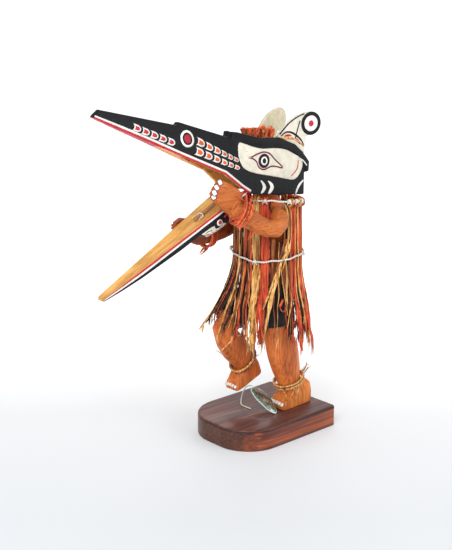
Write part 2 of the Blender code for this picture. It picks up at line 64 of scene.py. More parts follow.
cam_data = bpy.data.cameras.new("camera")
cam_data.lens = 73.1
cam_data.sensor_width = 36.0
camera = new_object("camera", cam_data)
camera.location = vec(1126.8, -1086.8, 663.4) * MM
aim = vec(-78.3, 3.2, 221.3) * MM - camera.location
camera.rotation_euler = aim.to_track_quat("-Z", "Y").to_euler()
scene.camera = camera


# Materials

def grey(*stops):
    return [(p, (v, v, v)) for p, v in stops]


class Shader:
    """A material with short forms for the nodes that the looks are made of."""

    def __init__(self, name, rough=0.6, spec=0.4, sheen=0.0, coat=0.0):
        self.mat = bpy.data.materials.new(name)
        self.mat.use_nodes = True
        self.tree = self.mat.node_tree
        self.surface = self.tree.nodes["Principled BSDF"].inputs
        self.surface["Roughness"].default_value = rough
        self.surface["Specular IOR Level"].default_value = spec
        self.surface["Sheen Weight"].default_value = sheen
        self.surface["Coat Weight"].default_value = coat

    def link(self, out, into):
        self.tree.links.new(out, into)

    def node(self, kind, **values):
        node = self.tree.nodes.new("ShaderNode" + kind)
        for key, value in values.items():
            node.inputs[key].default_value = value
        return node

    def maths(self, kind, operation, first, second=None):
        node = self.node(kind)
        node.operation = operation
        self.link(first, node.inputs[0])
        if second is not None:
            node.inputs[1].default_value = second
        return node.outputs

    def coords(self, scale, turn=(0, 0, 0), shift=(0, 0, 0)):
        mapping = self.node("Mapping", Scale=scale, Rotation=turn, Location=shift)
        self.link(self.node("TexCoord").outputs["Object"], mapping.inputs["Vector"])
        return mapping.outputs["Vector"]

    def split(self, out):
        node = self.node("SeparateXYZ")
        self.link(out, node.inputs[0])
        return node.outputs

    def noise(self, along, scale, detail=4.0, rough=0.55, warp=0.0, turn=(0, 0, 0)):
        node = self.node("TexNoise", Scale=scale, Detail=detail, Roughness=rough, Distortion=warp)
        self.link(self.coords(along, turn), node.inputs["Vector"])
        return node.outputs["Fac"]

    def ramp(self, fac, stops):
        node = self.node("ValToRGB")
        els = node.color_ramp.elements
        while len(els) < len(stops):
            els.new(0.5)
        for el, (pos, col) in zip(els, stops):
            el.position = pos
            el.color = tuple(col) + (1.0,)
        self.link(fac, node.inputs["Fac"])
        return node.outputs["Color"]

    def mixed(self, fac, a, b, how="MIX"):
        node = self.node("Mix")
        node.data_type = "RGBA"
        node.blend_type = how
        for i, value in ((0, fac), (6, a), (7, b)):
            if isinstance(value, float):
                node.inputs[i].default_value = value
            elif isinstance(value, tuple):
                node.inputs[i].default_value = value + (1.0,)
            else:
                self.link(value, node.inputs[i])
        return node.outputs[2]

    def finish(self, colour, height, strength, dist, gloss=None, rough=()):
        self.link(colour, self.surface["Base Color"])
        if gloss:
            self.link(self.ramp(gloss, grey((0.3, rough[0]), (0.7, rough[1]))), self.surface["Roughness"])
        bump = self.node("Bump", Strength=strength, Distance=dist)
        self.link(height, bump.inputs["Height"])
        self.link(bump.outputs["Normal"], self.surface["Normal"])
        return self.mat


def board_faces(sh, tone, fine):
    """A dark porous front, a dull top, and a darker line under the upper edge with a painted highlight on
    the rounded edge above it.
    """
    facing = sh.split(sh.node("TexCoord").outputs["Normal"])
    ahead = sh.maths("Math", "MULTIPLY", facing["Y"], -1.0)[0]
    pores = sh.noise((1, 1, 2.6), 330.0, 5.0, 0.7)
    front = sh.ramp(pores, [(0.36, (0.02, 0.008, 0.006)), (0.52, (0.075, 0.024, 0.014)),
                            (0.66, (0.17, 0.06, 0.025)), (0.76, (0.50, 0.14, 0.03))])
    tone = sh.mixed(sh.ramp(ahead, grey((0.45, 0.0), (0.8, 0.85))), tone, front)
    top = sh.ramp(fine, [(0.3, (0.060, 0.022, 0.019)), (0.5, (0.115, 0.043, 0.036)),
                         (0.7, (0.175, 0.070, 0.055))])
    tone = sh.mixed(sh.ramp(facing["Z"], grey((0.5, 0.0), (0.9, 0.8))), tone, top)
    # Painted highlight on the rounded upper edge, with a darker line just below it.
    edge_line_and_highlight = sh.ramp(sh.split(sh.coords((1, 1, 30.0)))["Z"],
                  grey((0.80, 1.0), (0.86, 0.42), (0.905, 0.34), (0.93, 1.25), (0.955, 1.0)))
    return sh.mixed(1.0, tone, edge_line_and_highlight, "MULTIPLY")


def wood(name, dark, mid, light, along=(1, 1, 0.06), scale=260.0, rough=(0.62, 0.42), bump=0.25, broad=22.0,
         coat=0.0, streak=0.55, end_grain=False, pale_foot=False):
    sh = Shader(name, spec=0.35, coat=coat)
    fine = sh.noise(along, scale, 5.0, 0.62, 0.15)
    wide = sh.noise(tuple(0.4 + 0.6 * a for a in along), broad, 3.0, 0.5, 0.3)
    rings = sh.noise(along, scale * 0.2, 2.0, 0.5, 0.35)
    base = sh.ramp(rings, [(0.30, dark), (0.5, mid), (0.72, light)])
    lines = sh.ramp(fine, [(0.36, tuple(c * 0.42 for c in mid)), (0.50, mid), (0.66, light)])
    patch = sh.ramp(wide, grey((0.28, 0.55), (0.5, 1.0), (0.75, 1.18)))
    tone = sh.mixed(0.85, sh.mixed(streak, base, lines), patch, "MULTIPLY")
    if end_grain:
        tone = board_faces(sh, tone, fine)
    if pale_foot:
        height = sh.split(sh.coords((1, 1, 10.0)))["Z"]
        tint = sh.ramp(height, [(0.55, (1.04, 1.28, 1.12)), (0.85, (1.0, 1.0, 1.0))])
        tone = sh.mixed(1.0, tone, tint, "MULTIPLY")
    return sh.finish(tone, fine, bump, 0.0006, fine, rough)


def paint(name, colour, worn, rough=0.5, wear=0.7, spec=0.4):
    sh = Shader(name, rough, spec)
    blotch = sh.noise((1, 1, 1), 90.0, 5.0, 0.6)
    brush = sh.noise((1, 0.25, 0.7), 700.0, 3.0, 0.6)
    shade = [tuple(min(1, c * k) for c in colour) for k in (0.82, 1, 1.12)]
    chips = sh.ramp(brush, grey((wear, 0.0), (wear + 0.06, 1.0)))
    tone = sh.mixed(chips, sh.ramp(blotch, list(zip((0.3, 0.5, 0.7), shade))), worn)
    return sh.finish(tone, brush, 0.18, 0.0004, brush, (rough - 0.1, rough + 0.12))


def fibre(name, dark, mid, light, scale=420.0):
    sh = Shader(name, 0.72, 0.25, 0.15)
    fine = sh.noise((1, 1, 0.05), scale, 4.0, 0.65, 0.1)
    wide = sh.noise((1, 1, 0.35), 70.0, 3.0, 0.6)
    tone = sh.ramp(fine, [(0.34, dark), (0.5, mid), (0.66, light)])
    patch = sh.ramp(wide, grey((0.3, 0.62), (0.5, 0.98), (0.72, 1.2)))
    return sh.finish(sh.mixed(0.9, tone, patch, "MULTIPLY"), fine, 0.6, 0.0006, fine, (0.82, 0.58))


def fuzzy(name, look, fine, wide, tone, share, patch, bump, dist):
    """Twine or felt: a fine fuzz under broad soft patches."""
    sh = Shader(name, *look)
    fuzz = sh.noise((1, 1, 1), *fine)
    over = sh.ramp(sh.noise(*wide), grey(*patch))
    return sh.finish(sh.mixed(share, sh.ramp(fuzz, tone), over, "MULTIPLY"), fuzz, bump, dist)


def nacre(name, tones, rough, scale):
    sh = Shader(name, rough, 0.6, 0.0, 0.3)
    band = sh.noise((1, 2.6, 1), scale, 5.0, 0.65, 1.0, (0.3, 0.4, 0.5))
    fine = sh.noise((1, 3.0, 1), 420.0, 3.0, 0.6, 0.8, (0.3, 0.4, 0.5))
    streaks = sh.ramp(fine, grey((0.3, 0.45), (0.55, 1.0), (0.8, 1.3)))
    tone = sh.ramp(band, list(zip((0.30, 0.42, 0.52, 0.62, 0.74), tones)))
    return sh.finish(sh.mixed(0.9, tone, streaks, "MULTIPLY"), band, 0.6, 0.0010, fine,
                     (rough + 0.1, rough - 0.1))


M_FIGURE = wood("figure_wood", (0.33, 0.058, 0.012), (0.68, 0.158, 0.030), (0.86, 0.265, 0.068),
                scale=380.0, bump=0.3, pale_foot=True)
ARM_GRAIN = {"along": (1, 0.08, 0.8), "scale": 420.0, "bump": 0.3}
M_ARM = wood("arm_wood", (0.31, 0.060, 0.012), (0.55, 0.138, 0.024), (0.66, 0.205, 0.046), **ARM_GRAIN)
# Painted shade: the far arm's wood is the arm's wood in darker tones.
M_FAR_ARM_PAINTED_SHADE = wood("far_arm_wood_painted_shade", (0.12, 0.018, 0.006), (0.30, 0.054, 0.016), (0.42, 0.10, 0.03), **ARM_GRAIN)
INNER_GRAIN = {"along": (1, 0.06, 0.35), "scale": 240.0, "bump": 0.2}
M_GOLD_WOOD = wood("inner_wood", (0.40, 0.14, 0.025), (0.72, 0.36, 0.085), (0.86, 0.54, 0.19), **INNER_GRAIN)
# Painted light: the wood inside the mask is the inner wood in lighter tones.
M_MOUTH_PAINTED_LIGHT = wood("mouth_wood_painted_light", (0.55, 0.22, 0.045), (0.92, 0.52, 0.14), (0.98, 0.74, 0.30), **INNER_GRAIN)
M_ORANGE_WOOD = wood("beak_underside_wood", (0.6, 0.18, 0.035), (0.86, 0.33, 0.07), (0.92, 0.46, 0.14),
                     along=(1, 0.06, 0.4))
M_PLINTH = wood("plinth_wood_stain", (0.038, 0.010, 0.009), (0.125, 0.03, 0.019), (0.60, 0.135, 0.035),
                along=(0.75, 0.03, 1.0), scale=210.0, broad=16.0, rough=(0.52, 0.36), coat=0.12,
streak=0.45, end_grain=True)
M_LEATHER = wood("strap_leather_grain", (0.20, 0.075, 0.02), (0.42, 0.18, 0.05), (0.62, 0.33, 0.11),
                 along=(1, 0.2, 1), scale=900.0)
M_BLACK = paint("black_paint", (0.0065, 0.007, 0.009), (0.04, 0.038, 0.04), 0.5, 0.68, 0.22)
M_CREAM = paint("cream_paint", (0.73, 0.685, 0.57), (0.55, 0.46, 0.31), 0.55)
M_AGED_CREAM = paint("aged_cream_paint", (0.72, 0.64, 0.45), (0.5, 0.40, 0.24), 0.55)
M_WHITE = paint("white_paint", (0.86, 0.85, 0.80), (0.72, 0.66, 0.55), 0.5, 0.72)
M_RED = paint("red_paint", (0.56, 0.014, 0.035), (0.32, 0.015, 0.025))
M_DARK_RED = paint("dark_red_paint", (0.42, 0.010, 0.03), (0.15, 0.01, 0.015))
M_ORANGE = paint("orange_paint", (0.78, 0.10, 0.014), (0.5, 0.06, 0.015))
M_PLUM = paint("plum_paint", (0.16, 0.008, 0.04), (0.26, 0.04, 0.07))
BARKS = [
    fibre("red_bark_fibre", (0.13, 0.012, 0.005), (0.58, 0.058, 0.018), (0.86, 0.165, 0.05)),
    fibre("gold_bark_fibre", (0.20, 0.06, 0.012), (0.78, 0.39, 0.095), (0.98, 0.72, 0.33)),
    # Near-black bark for strips behind the others: painted shade in the gaps between strips.
    fibre("bark_fibre_painted_shade", (0.008, 0.003, 0.002), (0.032, 0.008, 0.004), (0.11, 0.028, 0.012)),
    fibre("brown_bark_fibre", (0.06, 0.012, 0.004), (0.27, 0.068, 0.018), (0.60, 0.22, 0.06)),
    fibre("orange_bark_fibre", (0.34, 0.045, 0.012), (0.92, 0.15, 0.036), (0.98, 0.33, 0.11), 600.0),
]
M_TWINE = fuzzy("twine_cotton", (0.8, 0.2, 0.25), (1400.0, 3.0, 0.6), ((1, 1, 1), 60.0, 3.0, 0.6),
                [(0.3, (0.66, 0.62, 0.53)), (0.55, (0.88, 0.86, 0.80)), (0.75, (0.95, 0.94, 0.9))], 0.7,
((0.3, 0.82), (0.6, 1.0)), 0.5, 0.0004)
M_CLOTH = fuzzy("black_felt", (0.9, 0.2, 0.35), (1600.0, 4.0, 0.7), ((1, 1, 0.6), 80.0, 3.0, 0.5),
                [(0.3, (0.009, 0.009, 0.011)), (0.6, (0.022, 0.022, 0.026)), (0.8, (0.05, 0.05, 0.056))],
0.8, ((0.3, 0.6), (0.7, 1.25)), 0.6, 0.0005)
M_NACRE = nacre("nacre", ((0.16, 0.34, 0.28), (0.36, 0.62, 0.50), (0.62, 0.66, 0.60), (0.62, 0.42, 0.44),
                          (0.24, 0.22, 0.15)), 0.24, 85.0)
M_TEAL = nacre("teal_nacre", ((0.01, 0.10, 0.08), (0.02, 0.26, 0.20), (0.04, 0.42, 0.33),
                              (0.45, 0.70, 0.58), (0.70, 0.78, 0.66)), 0.24, 110.0)
M_SHELL_BACK = nacre("shell_back", ((0.012, 0.010, 0.007), (0.055, 0.040, 0.024), (0.17, 0.13, 0.075),
                                    (0.36, 0.27, 0.20), (0.62, 0.60, 0.50)), 0.45, 150.0)


# Mesh helpers, in millimetres

def settle(ob, replaces=(), smooth=180):
    ob.data.polygons.foreach_set("use_smooth", [True] * len(ob.data.polygons))
    if smooth < 180:
        ob.data.set_sharp_from_angle(angle=radians(smooth))
    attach(ob, "root")
    if replaces:
        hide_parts(*replaces)
    return ob


class Soup:
    """Closed solids gathered into one mesh. project gives a surface point and its outward way."""

    def __init__(self, project=None):
        self.verts = []
        self.faces = []
        self.mats = []
        self.project = project

    def rings(self, rings, mat=0, closed=False):
        base = len(self.verts)
        n = len(rings[0])
        for ring in rings:
            self.verts.extend(Vector(p) for p in ring)
        out = []
        last = len(rings) if closed else len(rings) - 1
        for i in range(last):
            a = base + i * n
            b = base + ((i + 1) % len(rings)) * n
            for j in range(n):
                k = (j + 1) % n
                out.append((a + j, a + k, b + k, b + j))
        if not closed:
            out.append(tuple(base + j for j in range(n - 1, -1, -1)))
            out.append(tuple(base + (len(rings) - 1) * n + j for j in range(n)))
        c = sum((self.verts[base + j] for j in range(n)), Vector()) / n
        c2 = sum((self.verts[base + n + j] for j in range(n)), Vector()) / n
        a, b = self.verts[base], self.verts[base + 1]
        if (b - a).cross(c2 - c).dot(a - c) < 0:
            out = [tuple(reversed(f)) for f in out]
        self.faces.extend(out)
        self.mats.extend([mat] * len(out))

    def tube(self, path, radius, n=6, mat=0, closed=False, flat=1.0, taper=None, up=(0.13, 0.21, 0.97)):
        pts = [Vector(p) for p in path]
        rings = []
        count = len(pts)
        ref = Vector(up).normalized()
        for i, p in enumerate(pts):
            if closed:
                t = (pts[(i + 1) % count] - pts[i - 1]).normalized()
            else:
                t = (pts[min(i + 1, count - 1)] - pts[max(i - 1, 0)]).normalized()
            u = t.cross(ref)
            if u.length < 0.05:
                u = t.cross(vec(1, 0, 0))
            u.normalize()
            v = u.cross(t)
            r = radius * (1.0 if taper is None else taper[i])
            rings.append([p + u * r * cos(w) + v * r * flat * sin(w) for w in angles(n)])
        self.rings(rings, mat, closed)

    def build(self, name, mats, slot, replaces=(), smooth=180):
        mesh = bpy.data.meshes.new(name)
        mesh.from_pydata([tuple(v * MM) for v in self.verts], [], self.faces)
        for m in mats:
            mesh.materials.append(m)
        mesh.polygons.foreach_set("material_index", self.mats)
        mesh.update()
        return settle(new_object(name, mesh), replaces, smooth)


def curve_point(p0, p1, p2, p3, t):
    """The place at t from 0 to 1 between p1 and p2 on a smooth curve."""
    square = (2 * p0 - 5 * p1 + 4 * p2 - p3) * t * t
    return 0.5 * ((2 * p1) + (p2 - p0) * t + square + (3 * p1 - p0 - 3 * p2 + p3) * t ** 3)


def spread(points, count):
    """Points evenly spaced along a smooth curve through the given ones."""
    pts = [Vector(p) for p in points]
    dense = []
    for i in range(len(pts) - 1):
        p0 = pts[max(i - 1, 0)]
        p1, p2 = pts[i], pts[i + 1]
        p3 = pts[min(i + 2, len(pts) - 1)]
        for k in range(12):
            dense.append(curve_point(p0, p1, p2, p3, k / 12))
    dense.append(pts[-1])
    total = [0.0]
    for a, b in zip(dense, dense[1:]):
        total.append(total[-1] + (b - a).length)
    out = []
    j = 0
    for i in range(count):
        want = total[-1] * i / (count - 1)
        while j < len(total) - 2 and total[j + 1] < want:
            j += 1
        gap = max(total[j + 1] - total[j], 1e-9)
        out.append(dense[j].lerp(dense[j + 1], min(1.0, (want - total[j]) / gap)))
    return out


def lerp_table(table, step):
    """Rows between the given ones, no further apart than step in the first column."""
    out = [table[0]]
    for a, b in zip(table, table[1:]):
        n = max(1, int(ceil(abs(b[0] - a[0]) / step)))
        for i in range(1, n + 1):
            t = i / n
            out.append(tuple(x + (y - x) * t for x, y in zip(a, b)))
    return out


def remeshed(node, name, voxel, rounds, mats):
    """A fine smooth copy of a CAD node."""
    mesh = nodes[node].data.copy()
    ob = new_object(name, mesh)
    bm = bmesh.new()
    bm.from_mesh(mesh)
    bmesh.ops.remove_doubles(bm, verts=bm.verts, dist=0.00001)
    bm.to_mesh(mesh)
    bm.free()
    mesh.materials.clear()
    mod = ob.modifiers.new("remesh", "REMESH")
    mod.mode = "VOXEL"
    mod.voxel_size = voxel * MM
    mod.adaptivity = 0.0
    sm = ob.modifiers.new("smooth", "SMOOTH")
    sm.factor = 0.5
    sm.iterations = rounds
    bake(ob)
    bpy.data.meshes.remove(mesh)
    for m in mats:
        ob.data.materials.append(m)
    return ob


def bake(ob):
    """Turns an object's modifiers into its mesh."""
    bpy.context.view_layer.update()
    dg = bpy.context.evaluated_depsgraph_get()
    new = bpy.data.meshes.new_from_object(ob.evaluated_get(dg))
    ob.modifiers.clear()
    ob.data = new


def bvh_of(ob):
    vs = [v.co / MM for v in ob.data.vertices]
    return BVHTree.FromPolygons(vs, [tuple(p.vertices) for p in ob.data.polygons])


# Painted shapes laid on a surface as thin layers

def resample(loop, gap):
    out = []
    n = len(loop)
    for i in range(n):
        a = Vector(loop[i])
        b = Vector(loop[(i + 1) % n])
        k = max(1, int(ceil((b - a).length / gap)))
        for j in range(k):
            out.append(a.lerp(b, j / k))
    return out


PAINT_SINK = 0.5


def layer(soup, loop, lift, mat, gap=2.2):
    """One flat paint patch with its outline given in 2-D."""
    edge = resample(loop, gap)
    lo = vec(min(p.x for p in edge), min(p.y for p in edge))
    hi = vec(max(p.x for p in edge), max(p.y for p in edge))
    pts = [vec(p.x, p.y) for p in edge]

    def inside(q):
        hit = False
        m = len(edge)
        for i in range(m):
            a, b = edge[i], edge[(i + 1) % m]
            if (a.y > q.y) != (b.y > q.y) and q.x < (b.x - a.x) * (q.y - a.y) / (b.y - a.y) + a.x:
                hit = not hit
        return hit

    nx = int((hi.x - lo.x) / gap)
    ny = int((hi.y - lo.y) / gap)
    for i in range(1, nx + 1):
        for j in range(1, ny + 1):
            q = vec(lo.x + i * gap, lo.y + j * gap)
            if inside(q) and min((q - e).length_squared for e in edge) > (gap * 0.45) ** 2:
                pts.append(q)
    border = [(i, (i + 1) % len(edge)) for i in range(len(edge))]
    vs, es, fs, _o1, _o2, _o3 = delaunay_2d_cdt(pts, border, [], 1, 1e-6)
    tris = []
    for f in fs:
        c = (vs[f[0]] + vs[f[1]] + vs[f[2]]) / 3
        if inside(c):
            tris.append(tuple(f))
    used = sorted({i for f in tris for i in f})
    if not used:
        return
    base = len(soup.verts)
    where = {}
    n = len(used)
    top, low = [], []
    for k, i in enumerate(used):
        where[i] = k
        p, d = soup.project(vs[i].x, vs[i].y)
        top.append(p + d * lift)
        low.append(p - d * PAINT_SINK)
    soup.verts.extend(top + low)
    a, b, c = (top[where[i]] for i in tris[0])
    _p, d0 = soup.project(vs[tris[0][0]].x, vs[tris[0][0]].y)
    flip = (b - a).cross(c - a).dot(d0) < 0
    count = {}
    for f in tris:
        f = tuple(where[i] for i in (reversed(f) if flip else f))
        soup.faces.append(tuple(base + i for i in f))
        soup.faces.append(tuple(base + n + i for i in reversed(f)))
        soup.mats.extend([mat, mat])
        for i in range(3):
            count[(f[i], f[(i + 1) % 3])] = 1
    for (i, j) in list(count):
        if (j, i) not in count:
            soup.faces.append((base + j, base + i, base + n + i, base + n + j))
            soup.mats.append(mat)


def stroke(path, width, taper=None, count=None):
    """The outline of a line of some width along a smooth path."""
    pts = [vec(p[0], p[1], 0) for p in path]
    pts = spread(pts, count or max(6, len(path) * 4))
    left, right = [], []
    for i, p in enumerate(pts):
        t = (pts[min(i + 1, len(pts) - 1)] - pts[max(i - 1, 0)]).normalized()
        w = width / 2 * (taper(i / (len(pts) - 1)) if taper else 1.0)
        left.append((p.x - t.y * w, p.y + t.x * w))
        right.append((p.x + t.y * w, p.y - t.x * w))
    return left + right[::-1]


def oval(cx, cy, rx, ry, n=28):
    return [(cx + rx * cos(w), cy + ry * sin(w)) for w in angles(n)]


def smooth_loop(points, per=4):
    pts = [vec(p[0], p[1], 0) for p in points]
    out = []
    n = len(pts)
    for i in range(n):
        p0, p1, p2, p3 = pts[i - 1], pts[i], pts[(i + 1) % n], pts[(i + 2) % n]
        for k in range(per):
            q = curve_point(p0, p1, p2, p3, k / per)
            out.append((q.x, q.y))
    return out


def feather(cx, cy, ux, uy, length, high, bite):
    """A U-form: rounded ahead, hollow behind. u is its direction."""
    pts = []
    for i in range(9):
        w = pi * (0.5 - i / 8)
        pts.append((length * (0.05 + 0.45 * cos(w)), high / 2 * sin(w)))
    pts.append((-length * 0.5, -high / 2))
    for i in range(1, 6):
        w = -pi / 2 + pi * i / 6
        pts.append((-length * 0.5 + bite * cos(w), high / 2 * sin(w)))
    pts.append((-length * 0.5, high / 2))
    return [(cx + x * ux - y * uy, cy + x * uy + y * ux) for x, y in pts]


def side_view(tree, side, reach):
    """Finds the surface point seen from the side at a place, or else the one nearest to reach."""
    def project(y, z):
        hit = tree.ray_cast(vec(side * 90, y, z), vec(-side, 0, 0), 160)[0]
        if hit is None or hit.x * side < 0.5:
            hit = tree.find_nearest(vec(side * reach(y, z), y, z))[0]
        return hit, vec(side, 0, 0)
    return project


def bulge(ends, middle):
    return lambda t: ends + middle * sin(pi * t)


# Mask

# Sections: y, top height and half width, edge height and half width
BEAK = [
    (-291, 499.3, 2.6, 490.4, 4.2), (-250, 491.8, 3.3, 471.2, 7.0), (-206.5, 481.2, 4.1, 451.8, 10.4),
    (-157.5, 469.3, 4.9, 428.9, 15.0), (-153.5, 473.0, 5.1, 427.1, 15.4), (-109.0, 458.3, 6.5, 407.0, 20.4),
    (-89.7, 452.0, 7.6, 398.3, 22.9), (-67.0, 444.4, 9.5, 380.0, 26.6), (-63.5, 446.0, 12.0, 376.8, 27.2),
    (-50.0, 443.0, 18.0, 368.0, 29.2), (-39.0, 440.2, 22.5, 365.5, 29.8), (-26.0, 437.3, 26.5, 363.5, 30.0),
    (4.0, 435.5, 29.6, 359.5, 30.0), (33.0, 423.2, 30.0, 356.0, 30.0), (51.0, 408.0, 29.4, 353.5, 29.4),
    (58.5, 399.5, 28.6, 353.0, 28.6),
]
EDGE = [(y, zl) for y, zt, wt, zl, wl in BEAK]


def edge_z(y):
    for (y0, z0), (y1, z1) in zip(EDGE, EDGE[1:]):
        if y <= y1:
            return z0 + (z1 - z0) * (y - y0) / (y1 - y0)
    return EDGE[-1][1]

mask = remeshed("mask", "mask_shaped", 1.15, 3, [M_BLACK, M_MOUTH_PAINTED_LIGHT, M_ORANGE_WOOD, M_RED])


def mask_side(y, z):
    """Half width of the mask's outside at a place seen from the side."""
    for a, b in zip(BEAK, BEAK[1:]):
        if y <= b[0]:
            t = max(0.0, (y - a[0]) / (b[0] - a[0]))
            zt, wt, zl, wl = (a[i] + (b[i] - a[i]) * t for i in (1, 2, 3, 4))
            wm = max(wt, wl) * 0.5 + (wt + wl) * 0.25
            k = min(1.0, max(0.0, (z - zl) / max(zt - zl, 1)))
            return wl + (wm - wl) * k * 2 if k < 0.5 else wm + (wt - wm) * (k - 0.5) * 2
    return BEAK[-1][4]


# Faces inside the mouth get the lighter mouth wood, which is painted light.
for p in mask.data.polygons:
    c = p.center / MM
    nrm = p.normal
    wide = mask_side(c.y, c.z)
    low = c.z < edge_z(c.y) + 10
    inner = -125 < c.y < -60 and abs(c.x) < wide - 2.5
    if low and c.y < -60 and (nrm.z < -0.45 or inner):
        p.material_index = 3 if c.y < -188 else (2 if c.y < -95 else 1)
    elif c.z > 434 or c.y < -152 or (c.z > 404 and c.y < -45):
        continue
    elif abs(c.x) < wide - 1.6 and (nrm.x * c.x < 0 or nrm.z < -0.2 or (nrm.y > 0.3 and c.y < -60)):
        p.material_index = 1
settle(mask, ["mask"], 40)
MASK_BVH = bvh_of(mask)


def wall_patch(side, project):
    """A thin plate inside the wall where the hood's roof meets its side."""
    soup = Soup()
    rings = []
    for y in range(-70, -29, 4):
        a = project(y, 418)[0] - vec(side * 0.35, 0, 0)
        b = project(y, 432)[0] - vec(side * 0.35, 0, 0)
        rings.append([a, b, b - vec(side * 1.2, 0, 0), a - vec(side * 1.2, 0, 0)])
    soup.rings(rings)
    return soup


def row(soup, first, last, count, size0, size1, mat):
    a, b = Vector(first), Vector(last)
    u = (b - a).normalized()
    weights = [size0 + (size1 - size0) * i / (count - 1) for i in range(count)]
    steps = [(weights[i] + weights[i + 1]) / 2 for i in range(count - 1)]
    total = sum(steps)
    for i, long in enumerate(weights):
        c = a.lerp(b, sum(steps[:i]) / total)
        high = 8.8 if size0 == size1 else 5.6 + 4.8 * (long - size1) / (size0 - size1)
        layer(soup, feather(c.x, c.y, u.x, u.y, long * 1.08, high, long * 0.24), 0.22, 1)
        core = feather(c.x + u.x * 0.5, c.y + u.y * 0.5, u.x, u.y, long * 0.66, high * 0.56, long * 0.1)
        layer(soup, core, 0.42, mat)


def band(path, inner, outer):
    """A strip along a path, between two distances above it."""
    lower, upper = [], []
    for i, (y, z) in enumerate(path):
        a = path[max(i - 1, 0)]
        b = path[min(i + 1, len(path) - 1)]
        t = vec(b[0] - a[0], b[1] - a[1]).normalized()
        k = 0.72 if y < -280 else 1.0
        lower.append((y - t.y * inner * k, z + t.x * inner * k))
        upper.append((y - t.y * outer * k, z + t.x * outer * k))
    return lower + upper[::-1]


PANEL = [(-58.1, 437.7), (-62.1, 426.0), (-62.6, 414.9), (-59.0, 406.0), (-52.0, 400.6), (-42.0, 396.5),
         (-30.8, 393.4), (0.0, 386.0), (29.5, 378.4), (40.0, 379.5), (45.6, 383.6), (51.0, 391.0),
(52.6, 396.6), (50.0, 402.5), (43.0, 409.5), (30.0, 417.0), (16.2, 423.0), (-4.0, 426.5), (-23.7, 427.5),
(-39.4, 431.5), (-50.4, 436.0)]
ALMOND = [(-48.5, 417.4), (-41.5, 418.4), (-33.5, 421.4), (-22.7, 423.0), (-11.5, 419.4), (-2.1, 410.2),
          (12.4, 397.6), (-2.2, 401.0), (-11.7, 401.6), (-23.6, 398.9), (-32.6, 403.2), (-36.0, 411.0),
(-41.8, 415.6)]
# Painted shapes: outline, lift, colour, gap between points
MASK_PAINT = [
    (oval(-146.5, 451.6, 11.2, 11.0), 0.2, 1), (oval(-146.5, 451.6, 8.1, 8.0), 0.35, 0),
    (oval(-146.5, 451.6, 5.9, 5.8), 0.5, 6), (smooth_loop(PANEL, 3), 0.2, 4),
    (stroke(ALMOND + [ALMOND[0]], 2.0, None, 60), 0.42, 5, 1.6), (smooth_loop(ALMOND, 3), 0.32, 4),
    (oval(-22.8, 410.8, 10.4, 10.0), 0.5, 5), (oval(-22.8, 410.8, 9.3, 9.0), 0.65, 0),
    (oval(-22.6, 410.8, 6.0, 6.0), 0.8, 1), (oval(-22.6, 410.8, 3.4, 3.7), 0.95, 0),
    (stroke([(43.4, 404.6), (42.8, 397), (39.5, 390.5), (29.4, 383.4)], 1.7,
            lambda t: 1.15 - 0.7 * abs(t - 0.4)),
     0.42, 2, 1.6),
    (smooth_loop([(-29.5, 384.4), (-22.4, 379.5), (-19.6, 372.7), (-25.0, 366.8), (-29.6, 366.6),
                  (-25.4, 374.8)]),
     0.25, 1),
    (smooth_loop([(-15.8, 382.2), (-7.4, 377.7), (-4.6, 370.8), (-10.4, 364.4), (-15.8, 364.4),
                  (-11.0, 373.0)]),
     0.25, 1),
    (stroke([(56.0, 374.6), (47.8, 369.4), (42.6, 362.8), (39.2, 355.6)], 3.4, bulge(0.55, 0.6)), 0.25, 1),
    (stroke([(44.5, 407.6), (52.5, 402.4), (59.5, 395.6)], 1.4), 0.3, 1, 1.6),
]
LIP = [(y, edge_z(y)) for y in (-289, -250, -206.5, -157.5, -153.5, -109, -89.7, -80, -72, -65, -59, -54,
                                -50)]
SIDES = ((1, "left"), (-1, "right"))
for side, tag in SIDES:
    art = Soup(side_view(MASK_BVH, side, lambda y, z: max(2.0, mask_side(y, z))))
    wall_patch(side, art.project).build("mask_wall_" + tag, [M_BLACK], "painted_wood")
    layer(art, band(LIP, 0.2, 3.1), 0.3, 2, 3.0)
    layer(art, band(LIP, 3.1, 6.0), 0.25, 1, 3.0)
    row(art, (-226.0, 472.4), (-174.0, 450.2), 5, 12.6, 12.6, 2)
    row(art, (-125.0, 444.6), (-68.0, 416.6), 6, 13.9, 8.4, 3)
    row(art, (-129.5, 432.6), (-68.4, 406.2), 6, 14.3, 8.8, 3)
    for shape in MASK_PAINT:
        layer(art, *shape)
    art.build("mask_painting_" + tag, [M_BLACK, M_WHITE, M_RED, M_ORANGE, M_CREAM, M_PLUM, M_DARK_RED],
              "painted_wood")


# Lower beak

